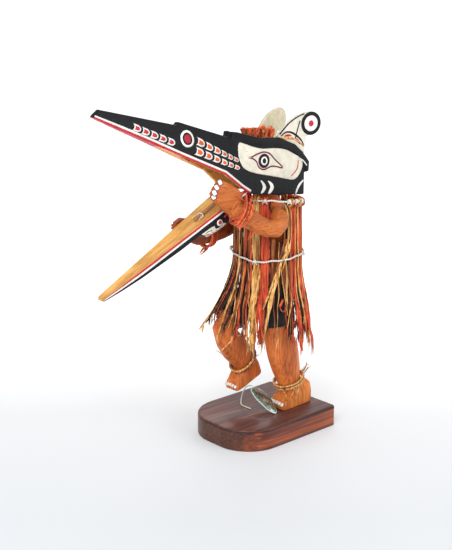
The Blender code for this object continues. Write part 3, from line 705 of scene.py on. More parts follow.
# Sections: y, top edge height, half width, depth, depth of the dish
JAW = [
    (-283.5, 259.2, 7.0, 4.6, 1.0), (-279.0, 261.4, 7.6, 5.4, 1.8), (-253.8, 273.8, 9.7, 9.2, 3.6),
    (-223.4, 288.8, 12.1, 12.8, 5.0), (-160.8, 319.8, 16.9, 16.6, 6.5), (-131.0, 334.5, 19.2, 16.4, 6.8),
    (-129.5, 335.3, 19.3, 16.8, 6.8), (-117.5, 341.2, 20.2, 27.0, 6.8), (-95.6, 352.1, 21.9, 30.0, 7.0),
    (-72.0, 363.8, 23.2, 29.0, 7.0), (-58.0, 370.7, 23.6, 26.0, 7.0), (-50.0, 374.0, 23.6, 18.0, 6.0),
]
jaw = Soup()
jaw_rings = []
for y, z, w, depth, dish in lerp_table(JAW, 4.0):
    wall = min(1.8, w * 0.3)
    red = min(3.7, depth * 0.27)
    white = min(6.8, depth * 0.54)
    half = [(w, -0.3), (w * 0.998, -red), (w * 0.99, -white), (w * 0.985, -depth * 0.68),
            (w * 0.955, -depth * 0.85), (w * 0.84, -depth * 0.955), (w * 0.4, -depth * 0.995)]
    hollow = w - wall
    inner = [(w - wall * 0.4, 0.0), (hollow, -0.5), (hollow * 0.8, -dish * 0.5),
             (hollow * 0.55, -dish * 0.85), (hollow * 0.25, -dish * 0.97), (0.0, -dish)]
    pts = [(0.0, -depth)] + half[::-1] + inner + [(-x, d) for x, d in inner[-2::-1]] + [(-x, d) for x,
            d in half]
    jaw_rings.append([(x, y, z + d) for x, d in pts])
jaw.rings(jaw_rings)
n_ring = len(jaw_rings[0])
# Colours round a section: black below, a white and a red line, bare wood inside
BEAK_LINES = {5: 3, 6: 2}
round_mats = []
for j in range(n_ring):
    k = min(j, n_ring - 1 - j)
    round_mats.append(1 if k >= 7 else BEAK_LINES.get(k, 0))
jaw.mats = round_mats * (len(jaw_rings) - 1) + [1, 0]
jaw_ob = jaw.build("lower_beak", [M_BLACK, M_GOLD_WOOD, M_RED, M_WHITE], "painted_wood", ["mask_jaw"], 35)
JAW_BVH = bvh_of(jaw_ob)


def tilt(y):
    return 352.1 + (y + 95.6) * 0.497


def jaw_uv(s, d):
    """A place on the beak's side: s along Y, d below the top edge."""
    return (s, tilt(s) - d)


def jaw_path(*places):
    return [jaw_uv(s, d) for s, d in places]


JAW_PAINT = [
    (jaw_path((-129.0, 14.0), (-118.5, 24.6), (-96.0, 28.0), (-84.0, 28.0), (-96.5, 17.2), (-104.0, 17.4),
              (-112.0, 14.6)), 0.22, 1),
    (smooth_loop(jaw_path((-106.5, 13.6), (-105.5, 20.6), (-98.5, 23.4), (-91.5, 21.2), (-90, 14),
                          (-97, 9.6)), 3),
     0.36, 0),
    (oval(*jaw_uv(-98.6, 16.9), 4.9, 4.4), 0.5, 2), (oval(*jaw_uv(-98.2, 16.9), 3.0, 2.9), 0.62, 3),
    (stroke(jaw_path((-91, 14.5), (-86.5, 12.8), (-83, 15.5)), 3.0), 0.5, 3),
    (oval(*jaw_uv(-118.2, 21.4), 1.5, 1.4, 12), 0.4, 3),
    (stroke(jaw_path((-122.5, 17.5), (-117, 17.2), (-111, 20.2)), 0.8), 0.4, 0, 1.6),
]
for side, tag in SIDES:
    art = Soup(side_view(JAW_BVH, side, lambda y, z: 20))
    for shape in JAW_PAINT:
        layer(art, *shape)
    art.build("lower_beak_painting_" + tag, [M_BLACK, M_CREAM, M_WHITE, M_RED], "painted_wood")

groove = Soup()
for x in (-9.0, 7.5):
    path = []
    for y in range(-262, -66, 8):
        deep = 1.8 + 4.7 * min(1.0, (y + 283) / 120)
        path.append((x * (0.25 + 0.75 * (y + 283) / 230), y, tilt(y) - deep + 0.55))
    n = len(path)
    groove.tube(path, 0.5, 6, 0, False, 0.6, [sin(pi * (i + 0.4) / n) for i in range(n)])
groove.build("lower_beak_grooves", [M_ORANGE_WOOD], "painted_wood")


# Strap and its string in the lower beak

STRAP = [(-122, 0.8, -3.0), (-118, 1.0, -2.9), (-100, 1.0, -2.6), (-84, 1.0, -2.4), (-70, 0.9, -2.4)]
strap = Soup()
strap_rows = []
for y, s, up in lerp_table(STRAP, 3.0):
    z = tilt(y) + up
    h = 3.2 * s
    strap_rows.append([(-4 + h, y, z + 0.4), (-4 + h * 0.86, y, z + 1.6), (-4, y, z + 1.9),
                       (-4 - h * 0.86, y, z + 1.6), (-4 - h, y, z + 0.4), (-4 - h * 0.8, y, z),
    (-4 + h * 0.8, y, z)])
strap.rings(strap_rows)
strap.build("beak_strap", [M_LEATHER], "strap_leather", ["jaw_strap"], 50)
loop = Soup()
for phase in (0.0, pi):
    path = []
    for w in angles(60):
        c = vec(-3.0 + 5.4 * cos(w), -112, tilt(-112) - 1.9 + 2.9 * sin(w))
        a = w * 9 + phase
        path.append(c + vec(cos(w) * cos(a), sin(a), sin(w) * cos(a)) * 0.42)
    loop.tube(path, 0.46, 6, 0, True, up=(0, 1, 0.1))
for sx in (-1, 1):
    end = [(-3 + 5.2 * sx, -112.5, tilt(-112) - 1.6), (-3 + 5.8 * sx, -116, tilt(-116) - 0.6),
           (-3 + 6.4 * sx, -121, tilt(-121) - 1.9 - 0.7 * sx)]
    loop.tube(spread(end, 10), 0.42, 6)
loop.build("beak_strap_string", [M_TWINE], "twine", ["jaw_string"])


# Crests

SPLAY = radians(12.0)


def crest_place(side, s, z, off):
    x = 20.0 + s * sin(SPLAY) + off * cos(SPLAY)
    y = 10.0 + s * cos(SPLAY) - off * sin(SPLAY)
    return vec(side * x, y, z)


def crest_view(side):
    out = (crest_place(side, 0, 0, 1) - crest_place(side, 0, 0, 0)).normalized()
    return lambda s, z: (crest_place(side, s, z, 2.5), out)


CREST_PAINT = [
    (oval(55.6, 455.5, 16.6, 16.6, 36), 0.25, 0), (oval(55.6, 455.5, 11.2, 11.2, 32), 0.4, 1),
    (oval(55.6, 455.5, 4.1, 4.4), 0.55, 2),
    (stroke([(3.0, 443.5), (10.8, 451.4), (19, 458.4), (31.4, 465.6), (44, 469.9)], 1.9,
            lambda t: 1.2 - 0.4 * t),
     0.25, 0),
    (stroke([(36.9, 460.5), (34.0, 452), (31.0, 442), (29.2, 434.5)], 1.7), 0.25, 0),
    (stroke([(5.5, 441), (13, 445.6), (22, 445), (32, 439.4), (39.5, 432.6), (43.6, 426)], 2.3,
            bulge(0.6, 0.6)),
     0.3, 0),
    (stroke([(11, 440.2), (16.5, 441.3), (22.5, 440.4)], 3.2, bulge(0.45, 0.55)), 0.3, 2),
    (stroke([(29.5, 436), (33.6, 432.4), (37.4, 427.6)], 3.0, bulge(0.45, 0.55)), 0.42, 2),
]
for (side, tag), cream in zip(SIDES, (M_CREAM, M_AGED_CREAM)):
    crest = remeshed("crest_" + tag, "crest_carved_" + tag, 0.8, 4, [cream])
    settle(crest, ["crest_" + tag], 50)
    art = Soup(crest_view(side))
    for shape in CREST_PAINT:
        layer(art, *shape)
    art.build("crest_painting_" + tag, [M_BLACK, M_WHITE, M_RED], "pale_wood")


# Figure

def grooves(ob, cuts, uneven):
    """Presses carved lines into a surface and leaves it uneven. A cut is (point test, depth)."""
    normals = [v.normal.copy() for v in ob.data.vertices]
    for v, n in zip(ob.data.vertices, normals):
        p = v.co / MM
        push = 0.0
        for test, depth in cuts:
            push = max(push, depth * test(p))
        v.co += n * (uneven(p) - push) * MM


def toe_cut(cx, foot_y, dirs, top_z, half, pitch):
    def test(p):
        d = (p - vec(cx, foot_y, top_z))
        w = radians(pitch)
        along = d.y * cos(w) + d.z * sin(w)
        if along > 17 or along < -4 or abs(d.x) > half + 2 or d.z > 24 or d.z < -2:
            return 0.0
        best = 0.0
        for g in dirs:
            k = abs(d.x - g) / 1.1
            if k < 1:
                best = max(best, (1 - k * k))
        return best * min(1.0, (17 - along) / 9)
    return test


figure = remeshed("body", "figure_carved", 1.35, 5, [M_FIGURE])
grooves(figure, [(toe_cut(20.6, 14, (-8.6, -2.2, 3.6, 9.2), 32, 17, 0), 1.4),
                 (toe_cut(-26, -33.5, (-7.2, -2.4, 2.6, 7.0), 60.5, 14, 18), 1.2)],
lambda p: noise.noise(vec(p.x * 0.08, p.y * 0.08, p.z * 0.035)) * 0.35 - 0.08)
settle(figure, ["body"])
FIGURE_BVH = bvh_of(figure)


def finger_cut(points, width):
    """Creases along short lines given as ((y, z), (y, z))."""
    def test(p):
        best = 0.0
        q = vec(p.y, p.z)
        for a, b in points:
            a, b = Vector(a), Vector(b)
            t = max(0.0, min(1.0, (q - a).dot(b - a) / (b - a).length_squared))
            d = (q - a.lerp(b, t)).length / width
            if d < 1:
                best = max(best, (1 - d * d) * (1 - 0.5 * t))
        return best
    return test

CREASES = {
    "left": [((-118.5, 389.5), (-99, 380.5)), ((-123.5, 383.5), (-104, 373)), ((-126, 377), (-108, 367.5))],
    "right": [((-140, 331), (-118, 322)), ((-142, 326.5), (-121, 316.5)), ((-140, 321), (-119, 310))],
}
ARM_BVH = {}
for tag, look in (("left", M_ARM), ("right", M_FAR_ARM_PAINTED_SHADE)):
    arm = remeshed("arm_" + tag, "arm_carved_" + tag, 1.1, 5, [look])
    grooves(arm, [(finger_cut(CREASES[tag], 1.5), 1.5)], lambda p: noise.noise(p * 0.09) * 0.3 - 0.08)
    settle(arm, ["arm_" + tag])
    ARM_BVH[tag] = bvh_of(arm)


def nail(soup, tree, at, facing, along, long, wide, mat=0, thick=0.9):
    """A small rounded plate on a finger or toe."""
    at, facing = Vector(at), Vector(facing).normalized()
    hit = tree.ray_cast(at + facing * 30, -facing, 60)
    if hit[0] is None:
        hit = tree.find_nearest(at)
    p, n = hit[0], hit[1]
    if n.dot(facing) < 0:
        n = -n
    n = (n + facing * 0.8).normalized()
    t = Vector(along)
    t = (t - n * t.dot(n)).normalized()
    s = n.cross(t)
    rings = []
    for h, k in ((-0.8, 0.9), (thick * 0.55, 1.0), (thick, 0.78)):
        ring = []
        for w in angles(14):
            cx = copysign(abs(cos(w)) ** 0.55, cos(w))
            cy = copysign(abs(sin(w)) ** 0.55, sin(w))
            ring.append(p + n * (h - 0.25 * cy * cy) + t * long / 2 * k * cx + s * wide / 2 * k * cy)
        rings.append(ring)
    soup.rings(rings, mat)


# Toes of the standing and of the raised foot: places and widths of the nails
STANDING_TOES = [(9.6, 16, 42.0, 5.6), (15.6, 15, 42.6, 5.4), (21.6, 15, 42.6, 5.2), (27.6, 15, 42.2, 5.0),
                 (33.4, 16, 40.4, 4.6)]
RAISED_TOES = [(-36.4, -34, 68.4, 4.6), (-31.4, -34.6, 69.4, 4.6), (-26.2, -35, 69.8, 4.5),
               (-21.0, -34.6, 69.4, 4.4), (-16.0, -34, 68.4, 4.0)]
nails = Soup()
for x, y, z, w in STANDING_TOES:
    nail(nails, FIGURE_BVH, (x - 0.8, y, z), (0.1, -1, 0.95), (1, 0, 0), w, 5.2)
for x, y, z, w in RAISED_TOES:
    nail(nails, FIGURE_BVH, (x, y, z), (0.05, -1, 0.55), (1, 0, 0), w, 4.6)
nails.build("toe_nails", [M_WHITE], "carved_wood", (), 50)
nails = Soup()
for y, z, long in ((-110.8, 392.4, 7.6), (-116.9, 386.4, 7.6), (-120.8, 379.8, 7.2), (-122.4, 374.0, 6.0)):
    for more, wide, mat, thick in ((1.8, 7.4, 1, 0.7), (0, 5.6, 0, 1.2)):
        nail(nails, ARM_BVH["left"], (36.0, y, z), (0.72, -0.66, 0.2), (0.2, 0.35, -0.8), long + more, wide,
             mat, thick)
nails.build("finger_nails", [M_WHITE, M_PLUM], "carved_wood", (), 50)


# Cloth shorts

def shorts_mesh():
    bm = bmesh.new()
    bm.from_mesh(figure.data)
    hem_n = vec(-2, -20, -17).normalized()
    cuts = [(vec(0, 0, 229), vec(0, 0, 1), None), (vec(20, 0, 165.5), vec(0.05, 0.1, -1), 1),
            (vec(-25, -36, 173), hem_n, -1)]
    for at, n, side in cuts:
        geom = bm.verts[:] + bm.edges[:] + bm.faces[:]
        if side is not None:
            part = [f for f in bm.faces if f.calc_center_median().x * side > -1.0 * MM]
            geom = list({v for f in part for v in f.verts}) + list({e for f in part for e in f.edges}) + part
        bmesh.ops.bisect_plane(bm, geom=geom, plane_co=at * MM, plane_no=n, dist=1e-7)
    drop = []
    for f in bm.faces:
        c = f.calc_center_median() / MM
        gone = c.z > 229
        if c.x > -1.0:
            gone = gone or (c - cuts[1][0]).dot(cuts[1][1]) > 0
        if c.x <= -1.0:
            gone = gone or (c - cuts[2][0]).dot(cuts[2][1]) > 0
        if gone:
            drop.append(f)
    bmesh.ops.delete(bm, geom=drop, context="FACES")
    loose = [v for v in bm.verts if not v.link_faces]
    bmesh.ops.delete(bm, geom=loose, context="VERTS")
    bm.normal_update()
    moves = {}
    for v in bm.verts:
        p = v.co / MM
        fold = 0.5 * sin(p.z * 0.55 + 2.2 * sin(p.x * 0.11 + p.y * 0.07)) * noise.noise(p * 0.05)
        moves[v] = v.normal * (0.9 + fold + 0.35 * noise.noise(p * 0.16)) * MM
    for v, m in moves.items():
        v.co += m
    mesh = bpy.data.meshes.new("cloth_shorts")
    bm.to_mesh(mesh)
    bm.free()
    mesh.materials.clear()
    mesh.materials.append(M_CLOTH)
    area = sum(p.area for p in mesh.polygons)
    ob = new_object("cloth_shorts", mesh)
    mod = ob.modifiers.new("thick", "SOLIDIFY")
    mod.thickness = 0.8 * MM
    mod.offset = 1.0
    bake(ob)
    return ob, area


cloth, cloth_area = shorts_mesh()
settle(cloth, ["shorts"])


# Bark fringe

RING_Y = 13.0
COLLAR_Z = 350.0
COLLAR_TILT = -0.13
WAIST_Z = 268.0
PROFILE = [(365, 50, 45), (345, 50, 46), (310, 51, 46), (283, 52, 46.5), (253, 52.5, 47), (225, 54, 50),
           (200, 57, 56), (175, 60, 59), (150, 62, 62), (120, 63, 64)]


def semi(z):
    for (z0, a0, b0), (z1, a1, b1) in zip(PROFILE, PROFILE[1:]):
        if z1 <= z <= z0:
            k = (z0 - z) / (z0 - z1)
            return a0 + (a1 - a0) * k, b0 + (b1 - b0) * k
    return PROFILE[-1][1:]


def ring_point(deg, z, off=0.0):
    a, b = semi(z)
    w = radians(deg)
    return vec((a + off) * cos(w), RING_Y + (b + off) * sin(w), z)


def collar_z(y):
    return COLLAR_Z + COLLAR_TILT * (y - RING_Y)


def waist_z(deg):
    off = abs((deg + 62 + 180) % 360 - 180)
    return WAIST_Z + 5.5 * sin(radians(min(90.0, off * 1.2))) ** 2


def drape(z):
    k = max(0.0, (262.0 - z) / 90.0)
    return k * k * 0.75 + 0.25 * k


def strip_frame(top_deg, low_deg, z_top, z_low, push, z):
    deg = top_deg + (low_deg - top_deg) * ((z_top - z) / (z_top - z_low))
    ahead = ring_point(deg + 2.0, z) - ring_point(deg - 2.0, z)
    e = vec(ahead.x, ahead.y, 0).normalized()
    return ring_point(deg, z) + vec(0, -1, 0) * push * drape(z), e, vec(e.y, -e.x, 0)


# Group, top angle, bottom angle, bottom height, width, forward push, tone
FRINGE = [
    ("front_1", -132, -137, 172, 8.0, 34, 1), ("front_2", -120.5, -125, 165, 7.6, 46, 1),
    ("front_3", -109.5, -112, 178, 8.2, 40, 0), ("front_4", -98, -100, 150, 8.2, 20, 1),
    ("front_5", -87, -88, 145, 8.6, 6, 0), ("front_6", -76, -76, 152, 8.0, 2, 0),
    ("front_7", -65, -65, 140, 8.6, 0, 1), ("front_8", -51, -51, 150, 12.0, 0, 0),
    ("left_1", -6, -7, 148, 8.0, 0, 1), ("left_2", 5, 5, 140, 7.6, 0, 0),
    ("left_3", 16, 16, 150, 8.0, 0, 1), ("left_4", 28, 28, 136, 8.6, 0, 0),
    ("left_5", 40, 40, 142, 8.6, 0, 0), ("back_1", 52, 52, 134, 9.0, 0, 1),
    ("back_2", 65, 65, 140, 9.6, 0, 0), ("back_3", 78, 78, 135, 10.0, 0, 1),
    ("back_4", 91, 91, 142, 10.0, 0, 0), ("back_5", 104, 104, 134, 9.6, 0, 1),
    ("back_6", 117, 117, 141, 9.4, 0, 0), ("back_7", 130, 130, 136, 9.4, 0, 1),
    ("right_1", 143, 143, 143, 9.2, 0, 0), ("right_2", 156, 156, 138, 8.8, 0, 1),
    ("right_3", 168, 168, 146, 8.6, 0, 0),
]
# The same with a top height after the angles
LOW_FRINGE = [
    ("left_low_1", -37, -37, 300, 158, 7.2, 0, 0), ("left_low_2", -27, -27, 296, 150, 7.0, 0, 0),
    ("left_low_3", -17, -17.5, 300, 162, 6.8, 0, 1), ("right_low_0", -180, -180, 284, 148, 8.4, 0, 1),
    ("right_low_1", -168, -169, 282, 165, 8.4, 4, 0), ("right_low_2", -156, -158, 280, 172, 8.0, 10, 1),
    ("right_low_3", -144, -147, 282, 168, 8.0, 20, 0),
]


# Strips per group: side shift, half width, tone, depth, end shift, width kept below the waist.
# Tones: 0 red, 1 gold, 2 near-black set behind the others as painted shade in the gaps, 3 brown.
PARTS = {
    "front_1": [(-1.5, 3.0, 3, 0.2, 0, 1.1), (1.0, 5.0, 2, -0.6, 8, 1.25), (2.6, 0.7, 1, 0.8, -2, 1.0)],
    "front_2": [(-1.6, 1.9, 3, 0.4, 0, 0.9), (1.8, 1.0, 1, 0.7, -2, 1.2), (0.4, 5.4, 2, -0.6, 10, 1.25)],
    "front_3": [(-2.6, 1.3, 3, 0.5, 4, 1.1), (2.0, 1.4, 0, 0.3, 0, 1.1), (0.0, 5.2, 2, -0.6, 8, 1.2)],
    "front_4": [(-1.8, 1.7, 1, 0.6, 0, 1.2), (2.4, 1.4, 3, 0.4, 10, 1.1), (0.4, 4.2, 2, -0.3, 16, 0.9)],
    "front_5": [(-2.2, 1.8, 3, 0.3, 12, 1.0), (1.4, 2.2, 0, 0.1, 0, 1.0), (0.0, 4.0, 2, -1.2, 20, 0.9),
                (-0.4, 0.6, 1, 1.1, 4, 1.0)],
    "front_6": [(-1.8, 2.4, 3, 0.1, 6, 1.0), (1.6, 1.8, 0, 0.3, 0, 1.0), (0.0, 4.0, 2, -1.2, 18, 0.9)],
    "front_7": [(0.2, 6.0, 1, 0.8, 0, 0.95), (4.4, 1.8, 3, 1.0, -3, 0.9), (-3.5, 1.6, 1, 1.2, 9, 0.8)],
    "front_8": [(0.6, 6.4, 0, 0.9, 0, 0.92), (-4.6, 1.8, 0, 0.4, 10, 1.0), (5.6, 2.4, 2, 0.0, 22, 0.8)],
    "left_low_1": [(-0.6, 3.0, 3, 0.0, 66, 0.9), (1.8, 0.7, 3, 0.7, 0, 0.9)],
    "left_low_2": [(0.6, 3.2, 2, 0.0, 70, 0.9), (-1.0, 0.6, 1, 0.7, 0, 0.9)],
    "left_low_3": [(3.0, 4.0, 2, -1.8, 8, 1.0), (-1.0, 2.6, 3, 0.3, 62, 0.9), (2.0, 2.0, 1, 0.7, 44, 0.7),
                   (1.0, 0.8, 0, 0.9, 0, 0.8)],
    "left_1": [(-1.4, 2.4, 3, 0.6, 4, 0.8), (2.2, 2.8, 0, 0.5, 0, 1.0), (-1.6, 5.0, 2, -1.4, 12, 1.1)],
    "left_2": [(-1.4, 2.6, 0, 0.7, -6, 1.1), (2.2, 2.0, 0, 0.1, 6, 1.0), (-0.6, 5.0, 2, -1.2, 14, 1.1),
               (0.2, 0.6, 1, 1.3, 14, 1.0)],
    "left_3": [(-1.6, 1.8, 1, 0.7, 24, 0.6), (1.6, 2.6, 0, 0.3, -7, 1.2), (0.2, 4.4, 2, -1.0, 10, 1.0)],
    "left_4": [(-1.8, 2.6, 0, 0.5, -6, 1.2), (2.0, 2.8, 0, 0.2, 4, 1.1), (0.2, 0.7, 1, 1.1, 10, 1.0)],
    "left_5": [(-1.8, 2.8, 0, 0.4, 2, 1.2), (2.0, 2.6, 3, 0.0, 0, 1.1), (0.4, 0.7, 0, 1.0, -3, 1.0)],
}


FLARE = {"left_1": 1.0, "left_2": 3.0, "left_3": 4.5, "left_4": 4.5, "left_5": 3.0}


# Loose strands per group: places as (angle, height, distance off the ring), then radius and tone
STRANDS = {
    "left_low_3": [
        ([(-28, 256, 2.4), (-38, 222, 3.0), (-45, 180, 3.6), (-51, 134, 3.0)], 2.9, 1),
        ([(-33, 254, 2.8), (-42, 226, 3.0), (-50, 200, 2.6)], 1.8, 1),
        ([(-26, 262, 3.0), (-22, 236, 3.2), (-17, 206, 3.4), (-15, 190, 2.8)], 1.5, 1),
        ([(-26, 258, 2.4), (-36, 230, 2.6), (-40, 206, 2.8), (-44, 186, 3.0)], 1.3, 1),
        ([(-16, 268, 2.6), (-12, 238, 2.8), (-7, 212, 3.0), (-13, 188, 3.0), (-16, 170, 2.5)], 0.9, 1),
        ([(-21, 214, 2.2), (-26, 204, 3.2), (-23, 197, 3.8), (-19, 198, 3.4)], 1.7, 0)],
    "left_1": [
        ([(-17, 350, 1.8), (-13, 332, 2.6), (-12, 304, 2.8), (-16, 284, 2.6), (-24, 268, 1.8),
          (-33, 246, 2.4)], 3.6, 1),
        ([(-22, 348, 1.0), (-19, 326, 2.0), (-19, 300, 2.2), (-23, 282, 2.2), (-29, 268, 1.6),
          (-36, 238, 2.6)], 2.2, 3),
        ([(-10, 348, 2.6), (-6, 326, 3.0), (-8, 296, 3.0), (-15, 276, 2.6), (-24, 254, 2.8)], 1.6, 1)],
    "front_6": [([(-80, 262, 1.8), (-74, 230, 2.0), (-70, 200, 2.4), (-60, 170, 3.0), (-52, 150, 3.0)], 0.7,
                 1)],
    "front_4": [([(-96, 262, 1.8), (-101, 232, 3.0), (-92, 200, 6.0), (-98, 165, 8.0)], 0.8, 1)],
}
TWIG = [(-3, -30, 156), (-7.6, -41, 150.5), (-8.0, -50.6, 146), (-12.8, -56.4, 138.4), (-20.2, -57.6, 130.4)]


def bark_strip(soup, rnd, place, z_top, low, half, tone, keep, knotted, waist):
    """One crumpled strip of bark: folded across, torn along its edges, frayed at the lower end."""
    phase = rnd.uniform(0, 6)
    folds = rnd.uniform(1.6, 2.6)
    steps = max(8, int((z_top - low) / 4))
    rings = []
    for k in range(steps + 1):
        z = z_top + (low - z_top) * k / steps
        c0, e, d, knot_z = place(z)
        free = max(0.0, min(1.0, (258 - z) / 90))
        sway = 1.7 * free * sin(z * 0.042 + phase) + 0.45 * sin(z * 0.17 + phase * 2)
        out = 1.3 * free * sin(z * 0.055 + phase * 1.7)
        tight = exp(-((z - waist) / 6.0) ** 2)
        if knotted:
            tight = max(tight, 0.8 * exp(-((z - knot_z) / 5.0) ** 2))
        wide = half * (1 - 0.34 * tight) * (1 + (keep - 1) * min(1.0, free * 2.2))
        wide *= 1 + 0.16 * sin(z * 0.10 + phase * 3) + 0.10 * sin(z * 0.33 + phase)
        if z - low < 14:
            wide *= 0.4 + 0.6 * (z - low) / 14
        twist = 0.55 * sin(z * 0.031 + phase * 1.3) * (0.25 + free)
        ee = e * cos(twist) + d * sin(twist)
        dd = d * cos(twist) - e * sin(twist)
        c = c0 + e * sway + d * out
        amp = min(1.0, 0.30 * wide) * (0.75 + 0.5 * tight)
        top = []
        for m in range(9):
            u = -1 + m / 4
            h = amp * (0.75 * sin(folds * pi * u + phase + z * 0.03)
                       + 0.4 * sin(2.3 * folds * pi * u + phase * 2 - z * 0.05))
            ragged = 1 + (0.09 * sin(z * 0.9 + phase * 5 + m) if abs(u) > 0.9 else 0)
            top.append(c + ee * wide * u * ragged + dd * h)
        rings.append(top + [p - dd * 0.45 for p in top[::-1]])
    soup.rings(rings, tone)
    tip, e, d, _z = place(low + 9)
    for h in range(max(3, int(half * 2.2))):
        u = rnd.uniform(-0.9, 0.9)
        a = tip + e * half * u * 0.7 * keep
        drop = rnd.uniform(9, 19)
        end = a + vec(0, 0, -drop) + e * (u * 3.2 + rnd.uniform(-1.6, 1.6)) + d * rnd.uniform(-0.8, 2.6)
        bend = e * rnd.uniform(-1.0, 1.0)
        soup.tube(spread([a, a.lerp(end, 0.5) + bend, end], 6), rnd.uniform(0.4, 0.85), 5, tone, False, 0.6,
                  [1, 1, 0.95, 0.85, 0.65, 0.3])


def strand(soup, path, r, tone):
    pts = spread([ring_point(deg, z, off) for deg, z, off in path], 26)
    soup.tube(pts, r, 8, tone, False, 0.4, [0.7] + [1.0 + 0.2 * sin(i * 0.9) for i in range(22)] + [0.8,
            0.6, 0.35])


def plain_parts(rnd, width, main):
    # The third strip is near-black bark behind the others, painted shade in the gap.
    return [(-0.26 * width, 0.30 * width, main, 0.4, rnd.uniform(0, 4), 1.05),
            (0.24 * width, 0.33 * width, main, 0.0, rnd.uniform(2, 9), 1.1),
    (0.0, 0.44 * width, 2, -1.1, 16, 0.9), (rnd.uniform(-3, 3), 0.7, 1 - main, 1.1, rnd.uniform(0, 12),
            1.0)]


def collar_knot(soup, rnd, c, e, d, width, tone):
    """Two turns of bark round the twine and short ends above them."""
    for j in range(2):
        path = []
        for w in angles(14, rnd.uniform(0, 3)):
            side = e * (j * 3.2 - 1.6 + 1.2 * sin(w))
            path.append(c + d * (1.2 + 3.1 * cos(w)) + UP * (4.3 * sin(w)) + side)
        soup.tube(path, 1.9, 7, tone, True, 0.5, up=tuple(e))
    for j in range(5):
        base = c + e * rnd.uniform(-width * 0.4, width * 0.4) + vec(0, 0, 2.5) + d * rnd.uniform(-0.8, 0.8)
        tip = base + vec(0, 0, rnd.uniform(2.0, 4.5)) + e * rnd.uniform(-1.8, 1.8) + d * rnd.uniform(-0.6,
                1.0)
        soup.tube([base, base.lerp(tip, 0.6), tip], 1.1, 5, tone, False, 0.5, [1, 0.8, 0.35])


def fringe(tag, d0, d1, z_top, z_low, width, push, main, knot):
    name = "fringe_" + tag
    rnd = random.Random(name)
    soup = Soup()
    parts = PARTS.get(tag) or plain_parts(rnd, width, main)
    waist = waist_z(d0)
    for mid, half, tone, depth, shift, keep in parts:
        def place(z):
            p, e, d = strip_frame(d0, d1, z_top, z_low, push, max(z, z_low))
            free = max(0.0, min(1.0, (258 - z) / 90))
            tight = 1 - 0.3 * exp(-((z - waist) / 6.0) ** 2)
            side = e * mid * tight * (1 + 0.3 * free)
            out = d * (depth + FLARE.get(tag, 0.0) * drape(z))
            return vec(p.x, p.y, z) + side + out, e, d, collar_z(p.y)
        bark_strip(soup, rnd, place, z_top, z_low + max(shift, -7), half, tone, keep, knot, waist)
    if knot:
        p, e, d = strip_frame(d0, d1, z_top, z_low, push, z_top - 3)
        tone = parts[0][2] if parts[0][2] < 2 else main
        collar_knot(soup, rnd, vec(p.x, p.y, collar_z(p.y)), e, d, width, tone)
    if tag == "front_4":
        soup.tube(spread(TWIG, 14), 1.6, 6, 1, False, 0.6)
    for path, r, tone in STRANDS.get(tag, ()):
        strand(soup, path, r, tone)
    soup.build("bark_" + name, BARKS[:4], ("red_bark", "gold_bark")[main], [name], 50)


for tag, d0, d1, z_low, width, push, main in FRINGE:
    fringe(tag, d0, d1, collar_z(ring_point(d0, 350).y) + 3.0, z_low, width, push, main, True)
for tag, d0, d1, z_top, z_low, width, push, main in LOW_FRINGE:
    fringe(tag, d0, d1, z_top, z_low, width, push, main, False)


# Twines round the collar and the waist

def twine(name, height, node, knots):
    soup = Soup()
    for phase in (0.0, pi):
        path = []
        for i in range(420):
            deg = 360.0 * i / 420
            w = radians(deg)
            z = height(deg) + 0.7 * sin(w * 7.0) + 0.4 * sin(w * 17.0 + 1.0)
            a = w * 46 + phase
            d = vec(cos(w), sin(w), 0)
            path.append(ring_point(deg, z, 3.15) + d * 0.68 * cos(a) + UP * 0.68 * sin(a))
        soup.tube(path, 0.78, 6, 0, True)
    for deg, size in knots:
        p = ring_point(deg, height(deg), 3.4)
        w = radians(deg)
        d = vec(cos(w), sin(w), 0)
        e = vec(-d.y, d.x, 0)
        for j in range(3):
            path = []
            for a in angles(12):
                side = e * ((j - 1) * 1.25 + 0.5 * sin(a + j))
                path.append(p + d * (0.6 + size * 0.75 * cos(a)) + UP * size * sin(a) + side)
            soup.tube(path, 0.72, 6, 0, True, up=tuple(e))
        for sgn in (-1, 1):
            tail = [p + d * 1.4 + e * sgn * 1.0, p + d * 2.2 + e * sgn * 2.6 + vec(0, 0, -2.4),
                    p + d * 1.6 + e * sgn * 3.2 + vec(0, 0, -4.2)]
            soup.tube(spread(tail, 8), 0.55, 6)
    soup.build(name, [M_TWINE], "twine", [node])


def collar_height(deg):
    return collar_z(ring_point(deg, 350).y) + 3.0 * max(0.0, cos(radians(deg - 25)))


COLLAR_KNOTS = [(-51, 2.3), (-12, 2.6), (4, 2.5), (20, 2.5), (36, 2.2), (84, 2.2), (150, 2.2), (205, 2.2),
                (262, 2.3)]
twine("collar_cord", collar_height, "collar_twine", COLLAR_KNOTS)
twine("waist_cord", waist_z, "waist_twine", [(-66, 2.0), (28, 2.0), (120, 2.1), (215, 2.1)])


# Bark ties at wrists and ankles

